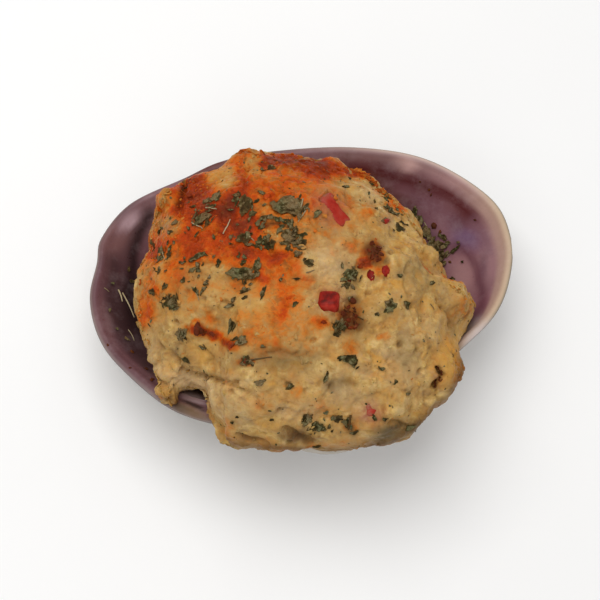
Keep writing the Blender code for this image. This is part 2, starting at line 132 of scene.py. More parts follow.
MOUND_PEAK = (-7.0 * MM, 3.0 * MM, 27.5 * MM)
MOUND_DETAIL = 7
CRUMB_DETAIL = 2
UNDERSIDE_SHARE = 0.3
TOP_FULLNESS = (2.5, 1.75)
UNDER_FULLNESS = (1.7, 1.6)
UNDER_DEPTH = 36.0 * MM
DROOP = 3.0 * MM
DROOP_RUN = 4.5 * MM
LIP_CLEARANCE = 0.8 * MM
LIP_SAFETY = 0.6 * MM
CUP_CLEARANCE = 0.4 * MM
SWELLINGS = (
    (-14.5, 33.5, 6.0, 1.8), (-20.5, 28.5, 5.0, -0.9), (37.0, -24.0, 7.5, 1.8), (31.0, -29.0, 5.0, -1.2),
    (41.0, -6.0, 6.0, 0.8), (33.5, 0.5, 4.5, -1.8), (-21.0, -22.0, 6.5, -1.9), (-12.0, -30.0, 8.0, 1.6),
    (-10.0, 11.0, 13.0, 1.4), (17.0, 17.0, 8.0, 1.2), (9.0, -28.0, 8.0, 1.0), (-27.0, 2.0, 9.0, 1.2),
    (24.0, -8.0, 8.0, 1.0), (1.0, -8.0, 9.0, -0.9), (12.0, 29.0, 5.0, -1.2), (22.0, 6.0, 5.0, -1.0),
)
CRAGS = ((15.0 * MM, 2.6 * MM), (8.5 * MM, 2.2 * MM), (5.6 * MM, 1.0 * MM))
CRAG_SHIFT = (3.7, 1.9, 7.3)

# Lines of sight.
SIGHT_RISE = math.radians(62.0)
SIGHT_DISTANCE = 417.0 * MM
SIGHT_AIM = Vector((0.25 * MM, 0.0, 0.0))
SIGHT_MIDDLE = 300.0
SIGHT_PIXEL = 0.0006
SENSOR = 36.0

CRAG_SHARE = 0.8  # of the solid's crags, whose finer ones are drawn below instead
INSET = 0.72 * MM  # the fine heap lies this far inside the smooth one, and its relief stands out again
# Where the fine heap is drawn in or swells beyond that, in the valve's frame, in millimetres.
TRIMS = (
    (-20.5, 29.5, 5.5, -1.5), (41.5, -21.0, 7.0, -0.9), (22.5, 25.0, 6.5, -2.0), (-32.0, -26.0, 3.5, 1.6),
    (-25.0, -28.5, 3.0, -1.6), (29.0, 14.0, 8.0, -0.6), (-16.0, 34.0, 4.0, 0.6), (12.0, 33.0, 7.0, 1.1),
    (-20.5, -38.5, 4.0, -1.2),
)

# Where the heap's edge is pulled over the lip: place and reach in the valve's frame, then the pull, in mm.
PULLS = (
    (-31.8, -25.0, 3.6, (-1.4, -3.2, -2.2)), (-28.0, -26.8, 2.0, (-0.9, 1.0, 0.2)),
    (-25.5, -26.0, 2.2, (0.0, 0.3, 0.0)), (-19.5, -37.5, 3.0, (0.9, 0.9, 0.0)),
    (41.0, -6.0, 4.2, (0.3, 1.8, 0.4)), (39.5, -11.8, 3.0, (0.2, -0.5, 0.0)),
)

# Relief that shows on the heap: across and down in pixels, half width and half height, turn, height (mm).
LUMPS = (
    (170, 200, 7, 15, 62, 2.6), (373, 250, 9, 13, -20, 0.9), (348, 276, 7, 13, -25, 0.6),
    (350, 318, 13, 14, 0, 0.8), (197, 329, 8, 7, 0, 1.0), (452, 368, 14, 26, -15, 0.9),
    (463, 305, 13, 13, 0, 1.0), (160, 362, 15, 16, 20, 1.2), (163, 391, 8, 7, 0, 1.4),
    (173, 399, 4, 8, 0, 0.9), (152, 356, 8, 7, 0, 0.4), (166, 376, 9, 6, 0, 0.8),
    (200, 364, 20, 10, -10, 1.0), (245, 405, 26, 16, 10, 0.9), (228, 345, 12, 8, 20, 0.7),
    (284, 262, 10, 8, 0, 0.5), (246, 154, 12, 6, 0, 0.8), (222, 176, 18, 12, 0, 0.5),
    (415, 290, 18, 14, 0, 0.8), (310, 395, 22, 14, 0, 0.6), (395, 385, 18, 16, 20, 0.7),
    (382, 232, 10, 10, 0, 0.5), (430, 258, 10, 12, 10, 0.7), (347, 232, 10, 12, 30, 0.4),
    (260, 330, 22, 16, 0, 0.6), (420, 345, 16, 14, 0, 0.6), (300, 300, 20, 16, 0, 0.4),
    (329, 300, 16, 15, 0, 1.2), (334, 211, 13, 19, -32, 1.0),
)
# Two crevices with burnt edges and painted shadow in them: points in pixels.
RIGHT_CREVICE = ((438, 368), (442, 375), (437, 380), (434, 388))
TOP_CREVICE = ((266, 226), (272, 223), (280, 223), (289, 227))
# Cracks, folds and grooves: points in pixels, then half width (px) and depth (mm).
CRACKS = (
    (((182, 370), (196, 375), (212, 377), (226, 382), (243, 390)), 2.2, 1.3),
    (((243, 390), (256, 397), (262, 409)), 2.2, 0.8), (((160, 345), (172, 352), (178, 362)), 2.4, 0.9),
    (((205, 350), (213, 357), (209, 365)), 1.8, 0.7), (RIGHT_CREVICE, 1.5, 3.0),
    (((284, 430), (297, 436), (312, 441)), 2.8, 1.8), (((238, 434), (252, 440), (268, 446)), 2.2, 1.2),
    (((389, 424), (400, 422), (408, 426)), 2.0, 1.0), (((410, 262), (404, 280), (408, 296)), 2.4, 0.8),
    (((392, 345), (388, 362), (396, 372)), 2.2, 0.7), (((328, 365), (336, 380), (331, 392)), 2.0, 0.6),
    (((437, 300), (447, 312), (452, 326)), 2.2, 1.0), (((312, 255), (322, 276), (318, 286)), 2.6, 0.6),
    (((183, 180), (183, 192), (177, 208)), 3.0, 2.8), (((248, 165), (244, 180), (248, 195)), 2.2, 0.6),
    (((366, 372), (380, 370), (392, 376)), 1.6, 0.5), (((262, 355), (280, 352), (300, 357)), 2.4, 0.7),
    (((420, 300), (424, 318), (416, 332)), 2.2, 0.7), (TOP_CREVICE, 2.0, 1.3),
    (((157, 379), (165, 383), (174, 380)), 1.8, 0.9), (((168, 386), (170, 394), (168, 402)), 1.6, 0.9),
    (((146, 364), (156, 365), (164, 360)), 1.8, 0.7), (((184, 379), (190, 385), (199, 387)), 1.8, 0.8),
    (((203, 376), (206, 386), (203, 396)), 1.8, 0.6),
)
FINE_GRAIN = ((3.3 * MM, 0.60 * MM), (1.9 * MM, 0.34 * MM), (1.15 * MM, 0.18 * MM))
GRIT = ((1.15 * MM, 0.16 * MM), (0.7 * MM, 0.08 * MM))
FIBRES = ((3.0 * MM, 0.30 * MM), (1.5 * MM, 0.14 * MM))  # torn ridges of bread: spacing and height
WARP = (4.2 * MM, 1.7 * MM)  # size of the shifts that make the fine lumps uneven, and how far they go
CREASES = ((4.4 * MM, 0.36 * MM), (2.3 * MM, 0.16 * MM))
PIT_SPACING = 5.2 * MM
PIT_SIZE = 0.2  # as a share of the spacing
PIT_DEPTH = 0.9 * MM

# How far the crust has browned, from 0 (cream) to 1 (almost burnt): across, down, half width and
# half height in pixels, turn, and the browning there. Each patch lies over those before it.
BASE_TOAST = 0.15
TOAST_PATCHES = (
    (262, 326, 60, 30, 0, 0.33), (232, 224, 100, 82, -18, 0.52), (300, 190, 62, 40, 0, 0.46),
    (152, 275, 17, 55, 6, 0.46), (196, 238, 44, 26, 8, 0.72), (190, 198, 26, 22, -40, 0.88),
    (280, 187, 34, 17, 4, 0.53), (272, 160, 36, 10, -4, 0.84), (318, 165, 26, 12, 14, 0.82),
    (243, 176, 7, 24, 6, 0.88), (230, 206, 10, 28, 6, 0.90), (243, 226, 18, 12, 0, 0.84),
    (205, 212, 24, 9, 0, 0.92), (196, 180, 16, 10, -24, 0.86), (152, 248, 12, 11, 0, 0.84),
    (245, 252, 20, 9, 8, 0.78), (278, 259, 15, 9, 0, 0.76), (286, 262, 8, 7, 0, 0.82),
    (265, 279, 7, 5, 0, 0.74), (278, 308, 10, 24, 10, 0.56), (288, 291, 12, 14, 20, 0.58),
    (246, 292, 24, 9, 0, 0.40), (146, 308, 9, 18, 8, 0.54), (178, 258, 14, 20, 0, 0.58),
    (290, 268, 26, 12, -20, 0.56), (305, 280, 15, 10, 0, 0.50), (350, 172, 16, 8, 28, 0.76),
    (342, 200, 20, 14, 0, 0.44), (222, 178, 18, 12, -10, 0.30), (253, 162, 9, 13, 10, 0.30),
    (172, 200, 8, 17, 62, 0.44), (166, 224, 18, 12, 0, 0.40), (206, 276, 24, 14, 0, 0.26),
    (226, 302, 34, 12, 0, 0.25), (322, 260, 20, 14, 0, 0.06), (362, 192, 20, 12, 30, 0.14),
    (369, 211, 8, 7, 0, 0.42), (397, 204, 12, 6, 30, 0.64), (318, 232, 16, 16, 0, 0.36),
    (330, 250, 14, 8, 0, 0.30), (352, 245, 10, 8, 0, 0.52), (384, 272, 9, 8, 0, 0.50),
    (364, 263, 9, 7, -30, 0.94), (197, 329, 7, 6, 0, 1.0), (212, 334, 13, 5, 24, 0.80),
    (229, 345, 10, 5, 30, 0.74), (212, 320, 10, 5, 0, 0.44), (252, 336, 10, 9, 0, 0.42),
    (244, 362, 10, 5, 0, 0.62), (351, 318, 14, 14, 0, 0.44), (321, 323, 9, 6, 0, 0.58),
    (350, 350, 12, 10, 0, 0.36), (382, 339, 9, 6, 0, 0.36), (313, 413, 12, 12, 50, 0.28),
    (265, 405, 14, 12, 0, 0.29), (296, 392, 14, 12, 0, 0.28), (456, 370, 15, 26, -12, 0.36),
    (454, 350, 12, 14, 0, 0.28), (460, 308, 22, 22, 0, 0.26), (374, 252, 12, 15, -20, 0.52),
    (349, 319, 14, 16, 0, 0.50), (276, 232, 10, 6, 0, 0.40), (184, 382, 24, 13, 8, 0.06),
    (352, 424, 12, 12, 0, 0.36), (370, 300, 14, 10, 0, 0.30), (164, 392, 10, 12, 40, 0.32),
    (294, 346, 32, 14, 0, 0.37), (262, 442, 22, 6, 6, 0.30), (318, 446, 60, 7, 0, 0.28),
    (330, 408, 12, 5, 0, 0.30), (224, 428, 12, 12, 40, 0.29), (438, 420, 20, 8, -40, 0.34),
    (405, 396, 22, 14, 0, 0.24), (196, 392, 22, 12, 0, 0.16), (330, 385, 20, 14, 0, 0.12),
    (428, 306, 16, 20, 0, 0.16),
)
# Almost black spots and edges: burnt crust, and painted shade in the grooves along the bottom edge; like all
# patches below, each ends with its strength.
SCORCH_AND_SHADE_PATCHES = (
    (374, 252, 11, 14, -20, 0.92), (363, 264, 8, 7, -30, 0.45), (212, 334, 11, 5, 24, 0.35),
    (350, 279, 8, 14, -25, 0.45), (353, 301, 9, 6, 0, 0.75), (349, 320, 14, 15, 0, 0.88),
    (358, 325, 9, 8, 0, 0.80), (200, 330, 12, 7, 15, 0.45), (229, 345, 10, 6, 30, 0.35),
    (292, 161, 34, 8, 2, 0.44), (246, 152, 9, 4, 0, 0.30), (226, 212, 6, 16, 0, 0.25),
    (244, 362, 8, 4, 0, 0.60), (320, 166, 16, 7, 18, 0.35), (298, 437, 20, 7, 10, 0.80),
    (251, 438, 10, 4, 0, 0.55), (350, 428, 7, 9, 0, 0.45), (242, 342, 6, 5, 0, 0.50),
    (196, 398, 3, 5, 0, 0.3), (398, 426, 8, 4, -10, 0.45),
)
# Where the crust turns under, painted dark as its shade: points in pixels.
SHADED_UNDER_EDGE = (
    (176, 405), (186, 391), (198, 395), (208, 423), (219, 437), (233, 445), (258, 448), (287, 449),
    (317, 451), (345, 451), (362, 449), (392, 441), (415, 428), (432, 412), (452, 396), (462, 372),
    (463, 350),
)
# Dark lines: painted shade in crevices, folds, gaps and where the crust turns under, and some browned
# wrinkles: points in pixels, half width (px) and strength.
SHADE_AND_BROWN_LINES = (
    (SHADED_UNDER_EDGE, 5.0, 0.62), (RIGHT_CREVICE, 2.2, 1.0), (TOP_CREVICE, 1.8, 0.85),
    (((427, 337), (430, 344), (427, 351)), 1.2, 0.45), (((376, 366), (380, 369), (385, 371)), 1.2, 0.5),
    (((360, 393), (368, 396), (378, 392), (388, 396)), 1.3, 0.35),
    (((458, 322), (464, 318), (470, 310)), 1.3, 0.5), (((452, 308), (460, 304), (466, 306)), 1.1, 0.4),
    (((359, 316), (365, 320), (369, 323)), 1.2, 0.6), (((424, 403), (428, 407), (433, 408)), 1.2, 0.45),
    (((405, 390), (410, 392)), 1.2, 0.4), (((283, 430), (298, 437), (313, 441)), 2.4, 0.6),
    (((181, 371), (196, 376), (212, 377)), 1.4, 0.3), (((212, 379), (228, 384), (243, 391)), 1.6, 0.3),
    (((183, 180), (183, 192), (178, 206)), 2.4, 0.95), (((158, 397), (166, 400), (173, 396)), 1.4, 0.7),
    (((395, 258), (400, 268), (398, 284)), 1.3, 0.25),
)
# Pale grey-green patches that look moist; the first, at the bottom edge, stands in for the shadow under the
# overhang: painted shadow.
PASTE_AND_SHADE_PATCHES = (
    (388, 434, 22, 9, -24, 1.0), (418, 270, 16, 12, 0, 0.42), (405, 352, 14, 24, 0, 0.42),
    (215, 376, 22, 5, 8, 0.30), (158, 342, 14, 22, 0, 0.26), (226, 412, 30, 22, 0, 0.20),
    (232, 362, 26, 9, 10, 0.34), (342, 382, 20, 10, 0, 0.45), (383, 312, 16, 10, 0, 0.28),
    (280, 359, 42, 14, 2, 0.55), (188, 280, 16, 14, 0, 0.30), (425, 282, 10, 14, 0, 0.35),
    (178, 350, 14, 8, 20, 0.35), (300, 360, 26, 8, 0, 0.22), (349, 384, 11, 5, 8, 0.65),
    (412, 428, 14, 8, -30, 0.55), (166, 226, 14, 8, 0, 0.35), (366, 396, 16, 10, 0, 0.25),
)
# Floury, palest patches; the first, on the neck above the window, is also painted light that lifts the shade
# under the fold.
PALE_PATCHES = (
    (190, 383, 24, 12, 14, 1.0), (150, 354, 12, 22, 0, 0.3), (160, 372, 14, 12, 0, 0.4),
    (206, 398, 14, 10, 40, 0.6), (300, 410, 26, 12, 0, 0.4), (350, 398, 26, 14, 0, 0.35),
    (232, 400, 30, 24, 0, 0.32), (330, 264, 24, 20, 0, 0.45), (402, 368, 26, 26, 0, 0.30),
    (420, 330, 20, 20, 0, 0.2), (350, 370, 30, 12, 0, 0.25), (372, 196, 14, 8, 30, 0.3),
)
# Where the red pepper has coloured the stuffing.
STAIN_PATCHES = (
    (328, 300, 17, 15, 0, 0.75), (329, 209, 15, 21, -32, 0.80), (371, 413, 12, 12, 0, 1.0),
    (386, 221, 7, 6, 0, 0.55), (345, 203, 7, 8, 0, 0.35), (318, 196, 8, 7, 0, 0.55),
    (391, 214, 8, 5, 20, 0.35), (358, 414, 7, 8, 0, 0.35),
)
# Yellow, cheese-like patches.
YELLOW_PATCHES = (
    (203, 356, 9, 12, -30, 0.85), (453, 356, 16, 22, 0, 0.95), (434, 250, 12, 20, 20, 0.35),
    (222, 178, 16, 10, 0, 0.45), (300, 404, 14, 12, 0, 0.15), (345, 405, 16, 10, 0, 0.30),
    (172, 386, 8, 8, 0, 0.25), (360, 296, 10, 9, 0, 0.4), (405, 232, 16, 12, 0, 0.25),
    (270, 425, 16, 8, 0, 0.35), (390, 400, 10, 8, 0, 0.25), (250, 310, 24, 12, 0, 0.25),
)

# Dried herb leaves: across and down in pixels, then length and width in millimetres, and turn.
HERBS = (
    (286, 208, 7.6, 5.4, 4), (245, 205, 5.4, 3.0, 84), (203, 218, 4.8, 2.4, 8), (217, 197, 2.8, 2.4, 20),
    (171, 303, 3.6, 2.8, 35), (240, 274, 6.4, 2.6, -8), (257, 265, 3.2, 1.8, 75), (244, 239, 3.6, 2.4, 15),
    (270, 244, 3.8, 2.2, -12), (288, 236, 3.6, 3.0, 40), (300, 244, 3.6, 3.0, -30), (159, 255, 4.0, 1.9, 68),
    (197, 257, 4.8, 1.7, 4), (391, 211, 3.8, 2.1, -35), (400, 228, 2.8, 2.2, 10), (352, 275, 4.4, 2.6, 68),
    (390, 306, 3.2, 2.8, 60), (338, 325, 3.0, 2.4, 60), (350, 359, 4.2, 2.2, -10), (232, 326, 3.2, 1.6, 84),
    (242, 341, 2.8, 2.2, 30), (181, 334, 2.8, 2.3, 20), (306, 420, 2.9, 2.4, 45), (318, 426, 3.6, 2.3, -5),
    (337, 418, 2.8, 2.0, -15), (246, 361, 2.6, 2.2, 60), (271, 168, 2.6, 2.0, 80), (309, 263, 2.5, 1.9, 15),
)
# Smaller leaves and fragments round them.
SMALL_HERBS = (
    (208, 201, 2.2, 1.3, 10), (213, 207, 2.0, 1.0, -10), (185, 194, 2.0, 1.4, 60), (257, 246, 2.2, 1.5, 40),
    (285, 243, 2.4, 1.4, 0), (294, 231, 2.6, 1.6, 60), (303, 236, 2.2, 1.3, 20), (262, 226, 2.4, 1.2, 50),
    (300, 214, 3.0, 1.2, 80), (306, 207, 2.2, 1.2, 60), (317, 214, 2.4, 1.4, 50), (386, 200, 1.8, 1.0, -20),
    (371, 184, 1.6, 0.9, 0), (345, 188, 1.8, 1.2, 30), (152, 292, 2.0, 1.6, 0), (165, 286, 1.8, 1.2, 50),
    (170, 249, 1.8, 1.0, 70), (256, 274, 2.2, 1.4, 60), (244, 263, 1.8, 1.2, 20), (245, 291, 2.6, 1.3, 5),
    (263, 293, 3.4, 1.0, 80), (230, 305, 2.4, 1.0, 20), (196, 291, 2.6, 1.0, -50), (203, 291, 2.4, 0.9, 50),
    (206, 284, 1.4, 1.0, 0), (263, 346, 1.2, 0.8, 0), (219, 263, 1.6, 1.1, 60), (193, 270, 1.8, 1.0, 20),
    (183, 280, 1.6, 1.0, 70), (346, 286, 2.2, 1.8, 50), (400, 276, 1.4, 1.0, 0), (406, 305, 2.2, 1.4, -60),
    (336, 334, 1.8, 1.3, 0), (354, 363, 2.0, 1.5, 60), (341, 358, 2.0, 1.2, 10), (432, 283, 1.6, 1.0, 20),
    (260, 382, 2.6, 1.4, 20), (291, 387, 1.8, 1.2, 30), (326, 378, 2.8, 0.9, 70), (381, 370, 1.6, 0.6, -20),
    (395, 382, 1.3, 0.7, 60), (408, 393, 1.7, 0.6, -20), (411, 427, 2.4, 1.2, 20), (354, 432, 2.2, 1.0, 10),
    (348, 420, 2.0, 1.2, 70), (237, 417, 1.0, 0.6, 40), (232, 422, 0.9, 0.6, 0), (317, 446, 2.0, 1.0, 0),
    (186, 360, 2.2, 1.2, -30), (203, 347, 1.8, 0.8, -30), (175, 223, 1.8, 1.2, 30), (160, 232, 1.6, 1.0, 60),
    (236, 199, 2.2, 1.6, 70), (252, 214, 2.0, 1.4, 30), (267, 238, 2.2, 1.6, 60), (296, 254, 2.2, 1.4, 20),
    (288, 249, 2.0, 1.2, 80), (258, 223, 1.8, 1.1, 60), (263, 218, 2.0, 1.1, 30), (270, 217, 2.2, 1.2, 0),
    (278, 219, 2.2, 1.2, -10), (285, 221, 2.2, 1.2, -10), (291, 225, 2.0, 1.2, -50),
    (294, 231, 2.2, 1.2, -70), (377, 314, 1.2, 0.9, 0), (250, 245, 1.6, 1.2, 0),
)
# Fragments strewn round a place: its pixel, how far they spread in pixels, and how many.
STREWN = (
    ((170, 245), (12, 18), 16), ((205, 270), (16, 9), 14), ((222, 220), (24, 12), 14),
    ((262, 235), (22, 14), 14), ((245, 292), (30, 14), 6), ((320, 422), (26, 6), 8),
    ((388, 222), (10, 12), 8), ((348, 285), (6, 12), 6),
)
# Leaves torn to shreds that lie side by side: across, down, length and width in millimetres, turn, count.
SHREDS = (
    (203, 219, 2.6, 5.0, 72, 7), (244, 204, 2.4, 4.6, 80, 6), (238, 276, 2.6, 5.2, 60, 6),
    (352, 275, 2.4, 4.2, 62, 6), (296, 240, 2.2, 5.0, 30, 6), (341, 325, 2.2, 3.0, 40, 5),
    (391, 212, 2.4, 3.2, 55, 4), (163, 256, 2.2, 2.8, 60, 4), (232, 326, 2.2, 1.6, 84, 3),
    (182, 335, 2.0, 2.2, 70, 4), (209, 208, 1.8, 2.6, 10, 3), (171, 303, 3.0, 4.0, 40, 7),
    (174, 300, 2.6, 3.0, 110, 4), (318, 426, 2.0, 3.4, 65, 4), (197, 223, 2.0, 2.0, 10, 3),
    (301, 209, 1.8, 3.4, 75, 6),
)
# Stems: from and to in pixels, thickness in millimetres, and how dark.
STEMS = (
    ((223, 234), (230, 219), 0.30, 0.0), ((192, 223), (203, 229), 0.32, 0.2),
    ((206, 208), (217, 209), 0.34, 0.2), ((246, 232), (254, 241), 0.30, 0.1),
    ((303, 199), (300, 212), 0.40, 0.3), ((306, 211), (298, 222), 0.30, 0.3),
    ((246, 361), (272, 357), 0.36, 0.9), ((196, 293), (199, 300), 0.28, 0.4),
    ((239, 199), (243, 214), 0.26, 0.2), ((306, 273), (314, 270), 0.24, 0.7),
    ((203, 344), (206, 350), 0.26, 0.9), ((161, 248), (165, 259), 0.22, 0.1),
    ((351, 415), (348, 429), 0.60, 1.0), ((430, 304), (434, 310), 0.24, 0.8),
    ((357, 317), (363, 320), 0.34, 1.0),
)
# Small red bits: across and down in pixels, size in millimetres, and how pale.
RED_BITS = (
    (386, 221, 2.6, 0.3), (370, 277, 3.4, 0.1), (386, 271, 2.8, 0.25), (371, 412, 2.4, 0.9),
    (369, 408, 1.6, 1.1),
)

# Small things on the heap and in the shell.
PEPPER_BEVEL = 0.9 * MM * 1.7
PEPPER_SWAY = 0.10  # how far the sides swell and sink, as a share of the smallest
PEPPER_GROWTH = 1.07  # of the two large pieces over their solids
POCKETS = (("pepper_dice", -0.2), ("pepper_strip", 0.5))  # how far the stuffing creeps over each, in mm
POCKET_SINK = 1.0 * MM  # how far below a block's top the stuffing under it is pressed
POCKET_REACH = 4.0 * MM
BRIM_RISE = 0.2 * MM
BRIM_MOST = 1.4 * MM
LARGE_LEAF = 2.5  # millimetres; from this length on a leaf has a finer net and deeper folds
LEAF_LOBES = ((3, 0.15), (5, 0.12), (9, 0.08), (14, 0.05))  # how many lobes lie round a leaf, and their depth
LEAF_THICKNESS = 0.12 * MM
FALLEN_LIFT = 0.45 * MM
SPECK_SIDES = 5
SPECK_THICKNESS = 0.16 * MM
FLAKE_THICKNESS = 0.22 * MM
STEM_STEPS = 7

# Parts of the valve's inside by their place in the picture: pixels across or down where each begins to
# fade or grow, and where it has.
LONG_END = (120.0, 170.0)
FAR_WALL = (160.0, 185.0)
DEEP_SHADE_PART = (395.0, 450.0)
RIM_SHORT_END = (240.0, 420.0)
RIM_FAR_SIDE = (170.0, 215.0)
RIM_WIDENS = (455.0, 500.0)
# Where the inside by the short end is pale, and lightened further as painted light where the heap shades it.
PALE_WALL = (479, 336, 20, 14, -30, (0.70, 0.60, 0.57), 0.97)
MAROON = (0.078, 0.006, 0.007)
PLUM = (0.12, 0.036, 0.052)
# Colour bands inside the shell, two of them painted shade by the heap: points in pixels, half width (px),
# colour and strength.
SHELL_BANDS = (
    (((346, 158), (372, 160), (400, 165)), 6.0, (0.15, 0.06, 0.065), 0.6),
    (((348, 167), (380, 172), (408, 180), (436, 189), (458, 202), (473, 217)), 10.0, MAROON, 1.0),
    (((372, 176), (392, 196), (408, 207), (418, 225)), 7.0, (0.085, 0.018, 0.012), 0.85),
    # Painted shadow: the near-black band along the heap's left edge.
    (((150, 214), (139, 232), (133, 256), (128, 290), (127, 325)), 7.0, (0.018, 0.008, 0.009), 0.92),
    (((120, 352), (138, 375), (156, 391), (174, 402)), 10.0, (0.060, 0.022, 0.026), 0.9),
    (((474, 220), (486, 236), (489, 252)), 5.0, (0.20, 0.10, 0.13), 0.5),
    (((456, 244), (469, 255), (479, 275), (482, 291), (480, 306), (471, 320), (452, 332)), 4.4, PLUM, 0.78),
    (((404, 214), (418, 226), (432, 238)), 7.0, (0.10, 0.045, 0.07), 0.6),
    (((96, 268), (97, 300), (110, 340), (135, 374), (170, 402)), 8.0, (0.155, 0.070, 0.085), 0.75),
    # Painted shade: the dark band inside the left rim, by the heap.
    (((112, 262), (113, 300), (124, 332), (150, 368)), 9.0, (0.045, 0.020, 0.022), 0.8),
    (((186, 402), (202, 408)), 1.6, (0.012, 0.008, 0.010), 0.9),
)
# Colour spots inside the shell, some of them painted shadow, light and highlights as marked: across, down,
# half width and half height in pixels, turn, colour, strength.
SHELL_SPOTS = (
    (406, 165, 13, 7, 12, (0.80, 0.50, 0.46), 0.95), (428, 208, 28, 15, 24, (0.14, 0.058, 0.075), 0.7),
    (466, 238, 17, 12, 30, (0.17, 0.092, 0.175), 0.85), (461, 278, 14, 22, 0, (0.40, 0.215, 0.215), 0.85),
    PALE_WALL, (494, 262, 8, 40, 0, (0.33, 0.175, 0.190), 0.7),
    (458, 222, 12, 10, 30, (0.11, 0.045, 0.065), 0.7), (476, 219, 3, 3, 0, (0.14, 0.012, 0.012), 0.9),
    # (137, 312) is painted shadow in the pocket between the heap and the wall.
    (137, 312, 22, 34, 0, (0.022, 0.012, 0.013), 0.9), (112, 238, 20, 18, -40, (0.22, 0.105, 0.10), 0.8),
    # (128, 220) is a painted highlight: the sheen of the light on the left inner wall.
    (140, 212, 32, 9, -42, (0.26, 0.15, 0.165), 0.7), (128, 220, 15, 6, -48, (0.66, 0.47, 0.52), 0.88),
    # (448, 181) is a pale band, partly painted sheen on the far wall under the rim.
    (448, 181, 24, 7, 28, (0.42, 0.22, 0.24), 0.7), (192, 412, 16, 4, 22, (0.46, 0.34, 0.30), 0.8),
    # (190, 395) is lightened as painted light: the hinge wall lies in deep shade under the heap.
    (207, 418, 8, 4, 20, (0.22, 0.10, 0.05), 0.7), (190, 395, 18, 9, 20, (0.34, 0.25, 0.24), 0.95),
    (205, 165, 14, 6, -20, (0.07, 0.016, 0.014), 0.9), (104, 322, 8, 24, -12, (0.30, 0.155, 0.140), 0.6),
    (104, 280, 7, 12, 0, (0.085, 0.030, 0.036), 0.7), (483, 268, 5, 14, 0, (0.12, 0.05, 0.075), 0.6),
)
# Spots that lie over the rim too.
RIM_SPOTS = (
    PALE_WALL, (210, 165, 26, 9, -24, (0.13, 0.030, 0.022), 0.85),
    (193, 412, 18, 6, 24, (0.17, 0.100, 0.050), 0.95), (180, 408, 9, 5, 24, (0.11, 0.070, 0.040), 0.9),
    (197, 407, 15, 1.8, 26, (0.02, 0.012, 0.010), 0.85),
)
# What has fallen into the shell: leaves as above, stems as above, and crumbs with their size and browning.
FALLEN_LEAVES = (
    (414, 213, 3.2, 1.9, 70), (443, 237, 2.8, 1.3, -30), (432, 243, 3.2, 2.0, 60), (436, 251, 3.4, 2.2, 60),
    (420, 222, 2.8, 1.8, 60), (426, 232, 3.0, 1.9, 55), (441, 258, 2.8, 1.8, 40), (430, 247, 2.4, 1.4, 80),
    (438, 244, 2.2, 1.5, 30), (434, 257, 2.2, 1.4, 60), (444, 264, 1.8, 1.2, 20), (417, 218, 1.8, 1.2, 30),
    (441, 254, 2.2, 1.5, 20), (430, 237, 2.0, 1.3, 80), (444, 246, 2.4, 1.8, 0), (455, 250, 3.2, 0.9, 35),
    (453, 280, 1.8, 1.2, -20), (438, 260, 2.0, 1.4, 30), (425, 229, 1.9, 1.1, 60), (448, 243, 1.6, 1.0, 10),
    (420, 221, 1.6, 1.0, 40), (427, 234, 2.2, 1.4, 20), (447, 254, 1.8, 1.0, 60), (126, 340, 1.5, 0.7, -20),
    (131, 282, 1.8, 1.0, 20), (112, 284, 1.0, 0.6, 0), (109, 311, 1.2, 0.6, 60), (116, 330, 0.9, 0.6, 0),
    (128, 270, 1.4, 0.8, 70), (442, 263, 1.2, 0.8, 0), (459, 243, 1.0, 0.6, 0), (463, 262, 0.8, 0.6, 0),
)
FALLEN_STEMS = (
    ((118, 290), (122, 302), 0.42, 0.0), ((122, 293), (134, 318), 0.38, 0.0),
    ((446, 258), (457, 248), 0.30, 0.6), ((424, 222), (429, 232), 0.28, 0.5),
    ((104, 288), (109, 292), 0.24, 0.4), ((128, 330), (134, 341), 0.24, 0.2),
)
FALLEN_CRUMBS = (
    (138, 325, 2.2, 0.25), (132, 352, 1.1, 0.5), (146, 369, 1.0, 0.9), (130, 368, 0.8, 0.9),
    (434, 226, 1.8, 0.95), (152, 380, 1.2, 0.6), (429, 190, 0.8, 0.7), (431, 195, 0.9, 0.8),
    (475, 220, 0.8, 1.0), (420, 182, 0.6, 0.8), (450, 262, 1.0, 0.4), (440, 232, 1.0, 0.5),
    (108, 345, 0.7, 0.6),
)

# Dark beads of burnt crust: across and down in pixels, size in millimetres, browning and scorching.
BEADS = (
    (197, 329, 3.4, 1.0, 0.6), (199, 331, 2.6, 1.0, 0.8), (353, 301, 2.2, 1.0, 0.7),
    (344, 314, 2.0, 1.0, 0.7), (350, 320, 2.2, 1.0, 0.6), (356, 326, 2.0, 1.0, 0.7),
    (344, 325, 2.0, 1.0, 0.75), (351, 328, 1.8, 1.0, 0.6), (348, 308, 1.8, 1.0, 0.6),
    (357, 316, 1.6, 1.0, 0.5), (373, 244, 2.0, 1.0, 0.65), (379, 247, 1.9, 1.0, 0.7),
    (375, 251, 2.1, 1.0, 0.75), (381, 254, 1.8, 1.0, 0.7), (372, 257, 1.9, 1.0, 0.6),
    (378, 260, 1.7, 1.0, 0.7), (366, 262, 2.0, 0.95, 0.35), (369, 250, 1.6, 1.0, 0.6),
    (361, 266, 1.6, 0.95, 0.4), (348, 281, 1.8, 0.9, 0.7), (244, 362, 2.0, 0.9, 0.6),
    (212, 334, 1.8, 1.0, 0.4), (232, 346, 1.8, 0.9, 0.45), (204, 333, 1.8, 1.0, 0.4),
    (324, 322, 1.6, 0.9, 0.4),
)
